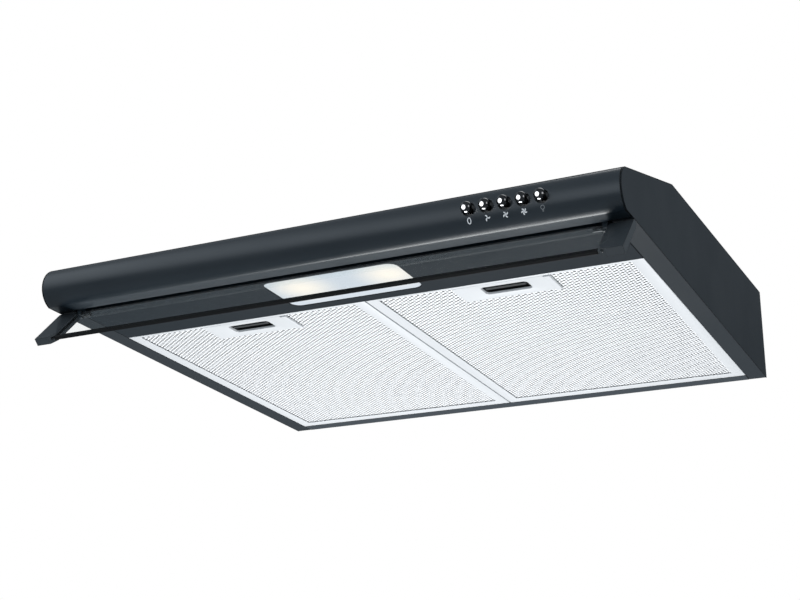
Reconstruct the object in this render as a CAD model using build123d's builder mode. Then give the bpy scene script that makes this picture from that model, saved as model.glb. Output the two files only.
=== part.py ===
from build123d import *
import os
from math import acos, atan, cos, degrees, hypot, radians, sin, sqrt

# Under cabinet range hood, 60 cm class, in millimetres. +Z is up, +Y is the wall side and
# the cook stands at -Y. The origin is the middle of the four cabinet screw holes, on the
# outer face of the flat top. The visor is modelled swung out, at 45 degrees.

# ---------------------------------------------------------------- driving dimensions
# Body shell
body_width = 598.0
body_depth = 498.0
body_height = 100.0
sheet = 1.0
soffit_rise = 22.0  # how much the underside climbs from the wall to the front
slope_depth = 147.0  # front part of the top that slopes down to the fascia
slope_drop = 39.0
nose_reach = 12.2  # how far the rounded fascia stands in front of the body
screws_to_back = 150.0  # middle of the cabinet screws, in front of the wall face
screw_spacing_x = 480.0
screw_spacing_y = 150.0
screw_hole_r = 3.25
side_flange = 19.0
back_flange = 17.0
inner_flange = 12.0
seam = 0.4  # gap between neighbouring sheet edges
fascia_flange = 16.0
fascia_upper_lip = 12.0
hinge_groove = 9.0

# Lamp panel
lamp_back_margin = 13.5  # from the lens opening to the panel's back edge
lip_height = 10.0
lens_length = 140.0
lens_width = 65.0
lens_corner = 9.0
lens_inset = 3.5  # from the panel's front edge
lens_gap = 0.4
lens_thickness = 2.5
lens_flange = 2.0
tray_height = 38.0
tray_margin = 26.0
tray_wall = 1.0
bulb_length = 50.0
bulb_r = 13.0
bulb_neck_r = 7.8
bulb_shoulder = 17.5  # from the tip to the widest place
socket_r = 12.5
socket_gap = 0.2
socket_collar = 2.0
bulb_from_centre = 20.0

# Visor
pivot_drop = 4.35  # pivot axis below the underside
visor_angle = 45.0  # below the horizontal, towards the cook
visor_reach = 48.2
arm_width = 22.0
arm_thickness = 7.7
arm_chamfer = 6.0
rail_r = 3.5
rail_end_gap = 1.0
pane_thickness = 2.4
pane_offset = 0.85  # towards the front face, from the pivot plane
pane_in_arm = 10.0
pane_short = 2.0  # the arms' tips stand past the pane
pane_gap = 0.1
lug_sweep_gap = 2.5  # between the rail and the pane's wide part, clear of the lugs
trim_width = 4.8
trim_thickness = 3.6
trim_short = 0.6
trim_end_gap = 0.3
lug_width = 5.0
lug_side_gap = 0.6
lug_foot = 14.0
pin_r = 2.0
pin_running = 0.05
pin_in_side = 8.0

# Buttons and switch
button_count = 5
button_pitch = 16.8
button_row_x = 195.6
button_drop = 57.5  # centre line below the top face
button_r = 5.2
button_standoff = 4.8
button_hole_r = 6.0
stem_r = 2.5
stem_gap = 0.4
stem_depth = 10.0  # how far a stem reaches into the switch
switch_behind_nose = 4.0
switch_depth = 18.0
switch_height = 20.0
switch_end = 10.0
switch_floor = 2.0
bracket_sheet = 1.5
bracket_foot = 12.0
bracket_gap = 0.2

# Grease filters
filter_height = 9.0
filter_gap = 1.0
filter_rail = 12.5
filter_front_rail = 4.0
filter_sheet = 1.0
mesh_thickness = 1.2
core_thickness = 2.0
filter_play = 0.2
tab_width = 30.0
tab_reach = 8.0
tab_from_centre = 90.0
tab_lift = 0.6

# Filter latch, measured from the middle of its filter
latch_left = -50.0
latch_right = 42.0
latch_depth = 37.0
rib_width = 6.5
rib_drop = 1.2
pocket_left = -24.0
pocket_right = 23.0
pocket_depth = 19.0
pocket_back_rail = 11.0  # from the plate's back edge to the pocket
pocket_height = 7.0
pocket_wall = 0.8
pocket_corner = 4.0
grip_length = 41.0
grip_thickness = 4.5
grip_height = 5.0
grip_from_front = 5.0
tongue_width = 20.0
tongue_thickness = 1.8
tongue_lift = 3.0
slot_gap = 0.3
shoulder_length = 1.2
shoulder_width = 30.0
spring_r = 1.4
spring_wire_r = 0.3
spring_turns = 4.0

# Blower
fan_x = -45.0
fan_to_back = 235.0
casing_wall = 2.0
casing_height = 67.0
scroll_gap = 8.0  # between the fan wheel and the cut-off
duct_margin = 5.0  # the duct is this much wider than the collar, each side
duct_end_margin = 7.0
scroll_steps = 17
lid_screw_angles = (150.0, 210.0, 270.0, 330.0)
casing_rim = 8.0
inlet_r = 52.0
inlet_lip = 4.0
impeller_r = 70.0
blade_depth = 12.0
blade_thickness = 1.2
blade_count = 32
blade_tilt = 35.0
blade_end_gap = 1.0
impeller_height = 48.0
impeller_to_lid = 6.0
ring_height = 2.0
backplate_drop = 37.0
hub_r = 10.0
hub_height = 10.0
shaft_r = 4.0
shaft_running = 0.05
motor_r = 41.0
motor_height = 32.0
motor_round = 5.0
shaft_in_motor = 24.0
bush_r = 6.0
bush_height = 4.0
bracket_r = 53.0
plate_thickness = 2.0
motor_screw_circle_r = 46.5
motor_screw_r = 2.0
motor_head_r = 3.5
head_height = 2.5
guard_bar = 2.0
guard_rings = (16.0, 28.0, 40.0, 52.0)
guard_margin = 8.0
guard_spokes = 6

# Outlet collar and backdraught flaps
collar_r = 60.0
collar_wall = 2.0
collar_height = 30.0
collar_to_back = 110.0
collar_flange_width = 10.0
collar_flange = 2.0
flap_axis_height = 12.0
flap_thickness = 1.2
flap_edge_gap = 1.0
flap_from_axis = 2.6
axle_r = 1.5
axle_running = 0.05
knuckle_r = 2.4
knuckle_length = 9.0
knuckle_root = 1.0  # how far a knuckle's strap runs into its flap
knuckle_places = {"front": 36.0, "back": 18.0}
ledge_width = 2.2
ledge_height = 2.0
ledge_gap = 0.1

# Electrics and fasteners
capacitor_r = 14.0
capacitor_length = 56.0
capacitor_x = 150.0
capacitor_to_back = 250.0
capacitor_round = 2.0
clip_sheet = 1.0
clip_width = 10.0
clip_foot = 16.0  # from the capacitor's axis to the middle of the clip's foot
clip_foot_length = 28.0
terminal_x = 200.0
terminal_to_back = 80.0
terminal_size_x = 62.0
terminal_size_y = 42.0
terminal_height = 28.0
terminal_wall = 2.0
gland_x = 250.0
gland_to_back = 40.0
gland_bore_r = 3.5
gland_body_r = 8.0
gland_flange_r = 12.0
gland_flange = 2.0
gland_body = 12.0
gland_nut_r = 11.0
gland_nut = 4.0
small_screw_r = 1.75
small_head_r = 3.2
small_head = 1.8

# ---------------------------------------------------------------- derived places
back_y = screws_to_back
front_y = back_y - body_depth
slope_y = front_y + slope_depth
half_width = body_width / 2
inner_half = half_width - sheet
nose_drop = body_height - soffit_rise
soffit_tilt = atan(soffit_rise / body_depth)
soffit_length = hypot(body_depth, soffit_rise)
nose_chord = nose_drop - slope_drop
nose_r = ((nose_chord / 2) ** 2 + nose_reach**2) / (2 * nose_reach)
nose_mid_z = -(slope_drop + nose_drop) / 2
nose_centre_y = front_y - nose_reach + nose_r

# The underside's own plane: x across, y towards the wall, z up into the hood
soffit = Plane(origin=(0, back_y, -body_height), x_dir=(1, 0, 0),
               z_dir=(0, sin(soffit_tilt), cos(soffit_tilt)))
flange_edge = half_width - side_flange
groove_front = -(soffit_length - fascia_flange)
groove_back = groove_front + hinge_groove
lens_front = groove_back + lens_inset
lamp_back = lens_front + lens_width + lamp_back_margin
lens_middle = lens_front + lens_width / 2
pivot_v = (groove_front + groove_back) / 2

filter_back = -(back_flange + sheet / 2)
filter_front = lamp_back + seam
filter_half = (flange_edge - filter_gap / 2) / 2 - seam / 2
filter_middle_x = (flange_edge + filter_gap / 2) / 2
filter_middles = {"left": -filter_middle_x, "right": filter_middle_x}

top_under = -sheet
casing_top = top_under
casing_bottom = casing_top - casing_height
fan_y = back_y - fan_to_back
collar_y = back_y - collar_to_back
collar_flange_r = collar_r + collar_flange_width
duct_half = collar_r + duct_margin
duct_end_y = collar_y + collar_r + duct_end_margin
scroll_start_r = impeller_r + scroll_gap
scroll_end_r = duct_half - fan_x
scroll_start_angle = degrees(acos((-duct_half - fan_x) / scroll_start_r))
ceiling = casing_top - casing_wall
impeller_bottom = casing_bottom + impeller_to_lid
impeller_top = impeller_bottom + impeller_height
bracket_top = ceiling - bush_height
bracket_under = bracket_top - plate_thickness
motor_under = bracket_under - motor_height
backplate_top = impeller_top - backplate_drop + ring_height

os.makedirs("parts", exist_ok=True)


# ---------------------------------------------------------------- helpers
def save(part, name):
    """Label one finished piece and write its STEP file."""
    part.label = name
    export_step(part, f"parts/{name}.step")


def save_pair(part, name):
    """Save a right-hand piece and its mirror image."""
    save(part, f"{name}_right")
    save(mirror(part, about=Plane.YZ), f"{name}_left")


def soffit_side(x):
    """Plane across the hood at x: sketch x is along the underside, sketch y is up from it."""
    return Plane(origin=(x, back_y, -body_height), x_dir=soffit.y_dir, z_dir=(1, 0, 0))


def soffit_point(x, along, up):
    """A point given in the underside's own coordinates."""
    return soffit.from_local_coords(Vector(x, along, up))


def box_on(plane, x0, x1, y0, y1, height, mode=Mode.ADD):
    """A block on a plane, from two corners and a height."""
    with BuildSketch(plane) as base:
        with Locations(((x0 + x1) / 2, (y0 + y1) / 2)):
            Rectangle(abs(x1 - x0), abs(y1 - y0))
    extrude(base.sketch, amount=height, mode=mode)


def disc_on(plane, x, y, radius, height, mode=Mode.ADD):
    """A round block on a plane."""
    with BuildSketch(plane) as base:
        with Locations((x, y)):
            Circle(radius)
    extrude(base.sketch, amount=height, mode=mode)


def nose_point(z, inset=0.0):
    """The fascia's front surface at height z, moved inwards by inset."""
    radius = nose_r - inset
    return nose_centre_y - sqrt(radius**2 - (z - nose_mid_z) ** 2)


# ---------------------------------------------------------------- body shell
def cheek_outline():
    """Side view of the body with its rounded nose, as a closed wire in the YZ plane."""
    Polyline((front_y, -slope_drop), (slope_y, 0), (back_y, 0), (back_y, -body_height),
             (front_y, -nose_drop))
    ThreePointArc((front_y, -nose_drop), (front_y - nose_reach, nose_mid_z),
                  (front_y, -slope_drop))


slope_lift = sheet * sqrt(1 + (slope_drop / slope_depth) ** 2)  # sheet measured upright on the slope
slope_rate = slope_drop / slope_depth

screw_places = [(sx * screw_spacing_x / 2, sy * screw_spacing_y / 2)
                for sx in (-1, 1) for sy in (-1, 1)]
shell_screw_x = inner_half - inner_flange / 2
top_screw_places = [(side * shell_screw_x, y) for side in (-1, 1)
                    for y in (slope_y + 3 * inner_flange, back_y - 3 * inner_flange)]
back_screw_places = [(side * shell_screw_x, z) for side in (-1, 1)
                     for z in (-2 * inner_flange, -body_height + 2 * inner_flange)]

with BuildPart() as side_panel:
    with BuildSketch(Plane.YZ.offset(inner_half)):
        with BuildLine():
            cheek_outline()
        make_face()
    extrude(amount=sheet)
    # bottom flange, flush with the underside, up to the fascia's lower lip
    box_on(soffit, flange_edge, inner_half, -soffit_length + fascia_flange, -sheet, sheet)
    # flange under the flat top, under the slope and inside the back
    box_on(Plane.XY.offset(-2 * sheet), inner_half - inner_flange, inner_half,
           slope_y + inner_flange, back_y - 2 * sheet, sheet)
    box_on(Plane.XZ.offset(-(back_y - sheet)), inner_half - inner_flange, inner_half,
           -body_height + inner_flange, -inner_flange, sheet)
    for x, y in top_screw_places:
        disc_on(Plane.XY.offset(-2 * sheet), x, y, small_screw_r, sheet, Mode.SUBTRACT)
    for x, z in back_screw_places:
        disc_on(Plane.XZ.offset(-back_y + sheet), x, z, small_screw_r, sheet, Mode.SUBTRACT)
save_pair(side_panel.part, "side_panel")

with BuildPart() as top_panel:
    with BuildSketch(Plane.YZ.offset(-inner_half)):
        with BuildLine():
            Polyline((front_y, -slope_drop), (slope_y, 0), (back_y, 0), (back_y, -sheet),
                     (slope_y, -sheet), (front_y, -slope_drop - slope_lift), close=True)
        make_face()
    extrude(amount=2 * inner_half)
    disc_on(Plane.XY.offset(-sheet), 0, collar_y, collar_r - collar_wall, sheet, Mode.SUBTRACT)
    for x, y in screw_places:
        disc_on(Plane.XY.offset(-sheet), x, y, screw_hole_r, sheet, Mode.SUBTRACT)
    for x, y in top_screw_places:
        disc_on(Plane.XY.offset(-sheet), x, y, small_screw_r, sheet, Mode.SUBTRACT)
    disc_on(Plane.XY.offset(-sheet), gland_x, back_y - gland_to_back, gland_body_r, sheet,
            Mode.SUBTRACT)
save(top_panel.part, "top_panel")

with BuildPart() as back_panel:
    box_on(Plane.XZ.offset(-back_y), -inner_half, inner_half, -body_height + sheet, -sheet, sheet)
    box_on(soffit, -flange_edge + seam, flange_edge - seam, -back_flange, -sheet / 2, sheet)
    for x, z in back_screw_places:
        disc_on(Plane.XZ.offset(-back_y), x, z, small_screw_r, sheet, Mode.SUBTRACT)
save(back_panel.part, "back_panel")

# Small screws put in from inside, through the side panels' flanges, flush on the outside
with BuildPart() as body_screws:
    for x, y in top_screw_places:
        disc_on(Plane.XY.offset(-2 * sheet), x, y, small_head_r, -small_head)
        disc_on(Plane.XY, x, y, small_screw_r, -2 * sheet)
    for x, z in back_screw_places:
        disc_on(Plane.XZ.offset(-back_y + 2 * sheet), x, z, small_head_r, small_head)
        disc_on(Plane.XZ.offset(-back_y), x, z, small_screw_r, 2 * sheet)
save(body_screws.part, "body_screws")

# The fascia: a rounded front with an upper lip under the sloping top and a lower flange
button_places = [button_row_x + (i - (button_count - 1) / 2) * button_pitch
                 for i in range(button_count)]
fascia_half = inner_half - seam
button_z = -button_drop
button_y = nose_point(button_z) - button_standoff

lip_y = front_y + fascia_upper_lip
lip_z = -slope_drop - slope_lift + fascia_upper_lip * slope_rate
fold_z = -slope_drop - 2 * slope_lift + sheet * slope_rate

with BuildPart() as front_fascia:
    with BuildSketch(Plane.YZ.offset(-fascia_half)):
        with BuildLine():
            ThreePointArc((front_y, -nose_drop), (front_y - nose_reach, nose_mid_z),
                          (front_y, -slope_drop - slope_lift))
            Polyline((front_y, -slope_drop - slope_lift), (lip_y, lip_z),
                     (lip_y, lip_z - slope_lift), (front_y + sheet, fold_z))
            ThreePointArc((front_y + sheet, fold_z), (front_y - nose_reach + sheet, nose_mid_z),
                          (front_y + sheet, -nose_drop + sheet))
            Line((front_y + sheet, -nose_drop + sheet), (front_y, -nose_drop))
        make_face()
    extrude(amount=2 * fascia_half)
    box_on(soffit, -flange_edge + seam, flange_edge - seam, -soffit_length, groove_front, sheet)
    for x0, x1 in ((-fascia_half, -flange_edge + seam), (flange_edge - seam, fascia_half)):
        box_on(soffit, x0, x1, -soffit_length, -soffit_length + fascia_flange - seam, sheet)
    box_on(soffit, -flange_edge + seam, flange_edge - seam, groove_front - sheet, groove_front,
           lip_height)
    for x in button_places:
        disc_on(Plane.XZ.offset(-front_y), x, button_z, button_hole_r, nose_reach + 1,
                Mode.SUBTRACT)
save(front_fascia.part, "front_fascia")

# ---------------------------------------------------------------- lamp panel
lamp_half = flange_edge - seam
with BuildPart() as lamp_panel:
    box_on(soffit, -lamp_half, lamp_half, groove_back, lamp_back, sheet)
    box_on(soffit, -lamp_half, lamp_half, groove_back, groove_back + sheet, lip_height)
    box_on(soffit, -lamp_half, lamp_half, lamp_back - sheet, lamp_back, lip_height)
    with BuildSketch(soffit):
        with Locations((0, lens_middle)):
            RectangleRounded(lens_length + 2 * lens_gap, lens_width + 2 * lens_gap,
                             lens_corner + lens_gap)
    extrude(amount=sheet, mode=Mode.SUBTRACT)
save(lamp_panel.part, "lamp_panel")

with BuildPart() as lamp_lens:
    with BuildSketch(soffit):
        with Locations((0, lens_middle)):
            RectangleRounded(lens_length, lens_width, lens_corner)
    extrude(amount=lens_thickness)
    with BuildSketch(soffit.offset(sheet)):
        with Locations((0, lens_middle)):
            RectangleRounded(lens_length + 2 * lens_flange, lens_width + 2 * lens_flange,
                             lens_corner + lens_flange)
    extrude(amount=lens_thickness - sheet)
save(lamp_lens.part, "lamp_lens")

# Reflector tray over the lens, open at the bottom, with the two lamp holders in its ends
tray_half_x = lens_length / 2 + tray_margin
tray_half_y = lens_width / 2 + lens_flange
lamp_axis_up = lens_thickness + tray_height / 2
with BuildPart() as lamp_tray:
    box_on(soffit.offset(lens_thickness), -tray_half_x, tray_half_x, lens_middle - tray_half_y,
           lens_middle + tray_half_y, tray_height)
    box_on(soffit.offset(lens_thickness), -tray_half_x + tray_wall, tray_half_x - tray_wall,
           lens_middle - tray_half_y + tray_wall, lens_middle + tray_half_y - tray_wall,
           tray_height - tray_wall, Mode.SUBTRACT)
    disc_on(soffit_side(-tray_half_x), lens_middle, lamp_axis_up, socket_r + socket_gap,
            2 * tray_half_x, Mode.SUBTRACT)
save(lamp_tray.part, "lamp_tray")

bulb_start = bulb_from_centre
bulb_end = bulb_start + bulb_length
with BuildPart() as lamp_socket:
    disc_on(soffit_side(bulb_end), lens_middle, lamp_axis_up, socket_r,
            tray_half_x + socket_collar - bulb_end)
    disc_on(soffit_side(tray_half_x), lens_middle, lamp_axis_up, socket_r + socket_collar,
            socket_collar)
save_pair(lamp_socket.part, "lamp_socket")

with BuildPart() as lamp_bulb:
    with BuildSketch(Plane(origin=soffit_point(0, lens_middle, lamp_axis_up), x_dir=(1, 0, 0),
                           z_dir=-soffit.y_dir)):
        with BuildLine():
            Line((bulb_start, 0), (bulb_end, 0))
            Line((bulb_end, 0), (bulb_end, bulb_neck_r))
            Spline((bulb_end, bulb_neck_r), (bulb_start + bulb_shoulder, bulb_r),
                   (bulb_start, 0), tangents=((-1, 0.1), (0, -1)))
        make_face()
    revolve(axis=Axis(soffit_point(0, lens_middle, lamp_axis_up), (1, 0, 0)))
save_pair(lamp_bulb.part, "lamp_bulb")

# ---------------------------------------------------------------- visor
pivot = soffit_point(0, pivot_v, -pivot_drop)
reach_dir = Vector(0, -cos(radians(visor_angle)), -sin(radians(visor_angle)))


def visor_side(x):
    """Plane across the visor at x: sketch x runs from the pivot to the free edge."""
    return Plane(origin=(x, pivot.Y, pivot.Z), x_dir=reach_dir, z_dir=(1, 0, 0))


arm_inner = half_width - arm_width
lug_inner = arm_inner - lug_side_gap - lug_width
rail_half = lug_inner - rail_end_gap
pin_start = rail_half - pin_in_side
pin_end = arm_inner + pin_in_side
pane_half = arm_inner + pane_in_arm
pane_tip = visor_reach - pane_short
trim_start = visor_reach - trim_width
pane_shoulder = rail_r + lug_sweep_gap

with BuildPart() as visor_arm:
    disc_on(visor_side(arm_inner), 0, 0, arm_thickness / 2, arm_width)
    box_on(visor_side(arm_inner), 0, visor_reach, -arm_thickness / 2, arm_thickness / 2, arm_width)
    inner_edges = visor_arm.edges().filter_by(Axis(pivot, tuple(visor_side(0).y_dir)))
    tip_edge = inner_edges.sort_by(Axis(pivot, tuple(reach_dir)))[-2:]
    chamfer(tip_edge.sort_by(Axis.X)[0], length=arm_chamfer)
    box_on(visor_side(arm_inner), rail_r, pane_tip + pane_gap,
           -pane_offset - pane_thickness / 2 - pane_gap,
           -pane_offset + pane_thickness / 2 + pane_gap, pane_in_arm + pane_gap, Mode.SUBTRACT)
    disc_on(visor_side(arm_inner), 0, 0, pin_r + pin_running, pin_in_side + pane_gap,
            Mode.SUBTRACT)
save_pair(visor_arm.part, "visor_arm")

with BuildPart() as visor_rail:
    disc_on(visor_side(-rail_half), 0, 0, rail_r, 2 * rail_half)
    box_on(visor_side(-rail_half), pin_r + pane_gap, rail_r + 1,
           -pane_offset - pane_thickness / 2, -pane_offset + pane_thickness / 2, 2 * rail_half,
           Mode.SUBTRACT)
    for x in (-rail_half, pin_start - pane_gap):
        disc_on(visor_side(x), 0, 0, pin_r + pin_running, pin_in_side + pane_gap, Mode.SUBTRACT)
save(visor_rail.part, "visor_rail")

with BuildPart() as visor_pane:
    box_on(visor_side(-rail_half), pin_r + 2 * pane_gap, pane_tip,
           -pane_offset - pane_thickness / 2, -pane_offset + pane_thickness / 2, 2 * rail_half)
    box_on(visor_side(-pane_half), pane_shoulder, pane_tip,
           -pane_offset - pane_thickness / 2, -pane_offset + pane_thickness / 2, 2 * pane_half)
save(visor_pane.part, "visor_pane")

with BuildPart() as visor_trim:
    trim_half = arm_inner - trim_end_gap
    box_on(visor_side(-trim_half), trim_start, visor_reach - trim_short,
           -pane_offset - trim_thickness / 2, -pane_offset + trim_thickness / 2, 2 * trim_half)
    box_on(visor_side(-trim_half), trim_start, pane_tip,
           -pane_offset - pane_thickness / 2, -pane_offset + pane_thickness / 2, 2 * trim_half,
           Mode.SUBTRACT)
save(visor_trim.part, "visor_trim")

# Lugs that hang from the lamp panel's front lip and carry the pivot pins
with BuildPart() as visor_bracket:
    disc_on(soffit_side(lug_inner), pivot_v, -pivot_drop, rail_r, lug_width)
    box_on(soffit_side(lug_inner), pivot_v - rail_r, pivot_v + rail_r, -pivot_drop,
           lip_height + sheet, lug_width)
    box_on(soffit_side(lug_inner), pivot_v - rail_r, groove_back + lug_foot, lip_height,
           lip_height + sheet, lug_width)
    disc_on(soffit_side(lug_inner), pivot_v, -pivot_drop, pin_r, lug_width, Mode.SUBTRACT)
save_pair(visor_bracket.part, "visor_bracket")

with BuildPart() as visor_pin:
    disc_on(soffit_side(pin_start), pivot_v, -pivot_drop, pin_r, pin_end - pin_start)
save_pair(visor_pin.part, "visor_pin")

# ---------------------------------------------------------------- buttons and switch
switch_front = front_y - nose_reach + switch_behind_nose + sheet
switch_back = switch_front + switch_depth
switch_half = (button_count - 1) / 2 * button_pitch + switch_end
button_names = ["button_off", "button_speed_1", "button_speed_2", "button_speed_3",
                "button_light"]
for name, x in zip(button_names, button_places):
    with BuildPart() as button:
        disc_on(Plane.XZ.offset(-button_y), x, button_z, stem_r,
                -(switch_front + stem_depth - button_y))
        with BuildSketch(Plane(origin=(x, button_y, button_z), x_dir=(1, 0, 0),
                               z_dir=(0, 0, 1))):
            Circle(button_r)
            with Locations((-button_r, 0)):
                Rectangle(2 * button_r, 2 * button_r, mode=Mode.SUBTRACT)
        revolve(axis=Axis((x, button_y, button_z), (0, 1, 0)))
    save(button.part, name)

with BuildPart() as switch_block:
    box_on(Plane.XZ.offset(-switch_front), button_row_x - switch_half, button_row_x + switch_half,
           button_z - switch_height / 2, button_z + switch_height / 2, -switch_depth)
    for x in button_places:
        disc_on(Plane.XZ.offset(-switch_front), x, button_z, stem_r + stem_gap,
                -(switch_depth - switch_floor), Mode.SUBTRACT)
save(switch_block.part, "switch_block")

# Angle bracket from the fascia's lower flange up to the back of the switch
with BuildPart() as switch_bracket:
    foot_along = -(back_y - switch_back) / cos(soffit_tilt)
    box_on(soffit.offset(sheet), button_row_x - switch_half, button_row_x + switch_half,
           -soffit_length + fascia_flange - sheet - bracket_foot, groove_front - sheet,
           bracket_sheet)
    box_on(soffit.offset(sheet), button_row_x - switch_half, button_row_x + switch_half,
           foot_along - bracket_gap, foot_along + bracket_sheet - bracket_gap,
           switch_height)
save(switch_bracket.part, "switch_bracket")


# ---------------------------------------------------------------- grease filters
inner_w = filter_half - filter_sheet
latch_front = filter_front + filter_front_rail
latch_back = latch_front + latch_depth
pocket_back = latch_back - pocket_back_rail
pocket_front = pocket_back - pocket_depth
mesh_low = filter_sheet
core_low = mesh_low + mesh_thickness
grip_front = pocket_front + grip_from_front
grip_back = grip_front + grip_thickness
tongue_front = filter_front + sheet / 2
shoulder_front = filter_front + filter_sheet + slot_gap


def filter_frame(middle, name):
    """Folded aluminium channel round one filter, with two tabs that sit on the back flange."""
    with BuildPart() as frame:
        box_on(soffit, middle - filter_half, middle + filter_half, filter_front, filter_back,
               filter_height)
        box_on(soffit.offset(filter_sheet), middle - inner_w, middle + inner_w,
               filter_front + filter_sheet, filter_back - filter_sheet,
               filter_height - 2 * filter_sheet, Mode.SUBTRACT)
        box_on(soffit, middle - filter_half + filter_rail, middle + filter_half - filter_rail,
               filter_front + filter_front_rail, filter_back - filter_rail, filter_height,
               Mode.SUBTRACT)
        box_on(soffit_side(middle - tongue_width / 2 - slot_gap), filter_front,
               filter_front + filter_sheet, tongue_lift - slot_gap,
               tongue_lift + tongue_thickness + slot_gap, tongue_width + 2 * slot_gap,
               Mode.SUBTRACT)
        for side in (-1, 1):
            tab_x = middle + side * tab_from_centre
            box_on(soffit.offset(sheet + tab_lift), tab_x - tab_width / 2, tab_x + tab_width / 2,
                   filter_back - filter_sheet, filter_back + tab_reach, sheet)
    save(frame.part, f"filter_frame_{name}")


def filter_layers(middle, name):
    """The face mesh and the mesh pack behind it, both cut away round the latch pocket."""
    side = filter_play
    cut_front = filter_front + filter_sheet + side
    cut_back = pocket_back + pocket_wall + side
    for layer, low, thickness in (("mesh", mesh_low, mesh_thickness),
                                  ("core", core_low, core_thickness)):
        with BuildPart() as slab:
            box_on(soffit.offset(low), middle - inner_w + side, middle + inner_w - side,
                   cut_front, filter_back - filter_sheet - side, thickness)
            box_on(soffit.offset(low), middle + pocket_left - pocket_wall - side,
                   middle + pocket_right + pocket_wall + side, cut_front, cut_back, thickness,
                   Mode.SUBTRACT)
        save(slab.part, f"filter_{layer}_{name}")


def latch_plate(middle, name):
    """Smooth plate at the filter's front edge with a pressed finger pocket and a rib."""
    with BuildPart() as plate:
        box_on(soffit, middle + latch_left, middle + latch_right, latch_front + seam / 2,
               latch_back, filter_sheet)
        box_on(soffit.offset(-rib_drop), middle + latch_right, middle + latch_right + rib_width,
               latch_front + seam / 2, latch_back, filter_sheet + rib_drop)
        pocket_x = middle + (pocket_left + pocket_right) / 2
        pocket_y = (pocket_front + pocket_back) / 2
        length = pocket_right - pocket_left
        with BuildSketch(soffit):
            with Locations((pocket_x, pocket_y)):
                RectangleRounded(length + 2 * pocket_wall, pocket_depth + 2 * pocket_wall,
                                 pocket_corner + pocket_wall)
        extrude(amount=pocket_height)
        with BuildSketch(soffit):
            with Locations((pocket_x, pocket_y)):
                RectangleRounded(length, pocket_depth, pocket_corner)
        extrude(amount=pocket_height - pocket_wall, mode=Mode.SUBTRACT)
        box_on(soffit.offset(tongue_lift - slot_gap), middle - tongue_width / 2 - slot_gap,
               middle + tongue_width / 2 + slot_gap, pocket_front - pocket_wall, pocket_front,
               tongue_thickness + 2 * slot_gap, Mode.SUBTRACT)
    save(plate.part, f"latch_plate_{name}")


def latch_slider(middle, name):
    """Finger grip in the pocket, with the flat tongue that reaches the filter's front edge."""
    grip_x = middle + (pocket_left + pocket_right) / 2
    with BuildPart() as slider:
        box_on(soffit.offset(pocket_height - pocket_wall - slot_gap - grip_height),
               grip_x - grip_length / 2, grip_x + grip_length / 2, grip_front, grip_back,
               grip_height)
        box_on(soffit.offset(tongue_lift), middle - tongue_width / 2, middle + tongue_width / 2,
               tongue_front, grip_front, tongue_thickness)
        box_on(soffit.offset(tongue_lift), middle - shoulder_width / 2,
               middle + shoulder_width / 2, shoulder_front, shoulder_front + shoulder_length,
               tongue_thickness)
    save(slider.part, f"latch_slider_{name}")


def latch_spring(middle, name):
    """Compression spring beside the tongue, between the pocket wall and the shoulder."""
    spring_x = middle + (tongue_width + shoulder_width) / 4
    spring_up = tongue_lift + tongue_thickness / 2
    start = shoulder_front + shoulder_length + spring_wire_r + seam / 2
    length = pocket_front - pocket_wall - spring_wire_r - seam / 2 - start
    with BuildPart() as spring:
        with BuildLine() as wire:
            Helix(pitch=length / spring_turns, height=length, radius=spring_r,
                  center=soffit_point(spring_x, start, spring_up), direction=soffit.y_dir)
        coil = wire.edges()[0]
        with BuildSketch(Plane(origin=coil @ 0, z_dir=coil % 0)):
            Circle(spring_wire_r)
        sweep(path=coil, is_frenet=True)
    save(spring.part, f"latch_spring_{name}")


for name, middle in filter_middles.items():
    filter_frame(middle, name)
    filter_layers(middle, name)
    latch_plate(middle, name)
    latch_slider(middle, name)
    latch_spring(middle, name)


# ---------------------------------------------------------------- blower
def scroll_radius(angle):
    """The scroll grows evenly from the cut-off to the start of the straight duct."""
    share = (angle - scroll_start_angle) / (360.0 - scroll_start_angle)
    return scroll_start_r + (scroll_end_r - scroll_start_r) * share


def scroll_point(angle, grow):
    """Point of the scroll at an angle from +X, seen from above, moved outwards by grow."""
    radius = scroll_radius(angle) + grow
    return (fan_x + radius * cos(radians(angle)), fan_y + radius * sin(radians(angle)))


def scroll_outline(grow=0.0):
    """Blower housing seen from above: scroll, then a straight duct towards the wall."""
    cut_off_x = scroll_start_r * cos(radians(scroll_start_angle)) - grow
    start_angle = degrees(acos(cut_off_x / (scroll_start_r + grow)))
    turns = [start_angle + (360.0 - start_angle) * i / scroll_steps
             for i in range(scroll_steps + 1)]
    start, end = scroll_point(start_angle, grow), scroll_point(360.0, grow)
    Spline(*[scroll_point(angle, grow) for angle in turns])
    Polyline(end, (end[0], duct_end_y + grow), (start[0], duct_end_y + grow), start)


rim_middle = (casing_wall + casing_rim) / 2
lid_screws = [scroll_point(angle, rim_middle) for angle in lid_screw_angles]
lid_screws += [(duct_half + rim_middle, collar_y), (duct_half + rim_middle, collar_y + collar_r)]

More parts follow.
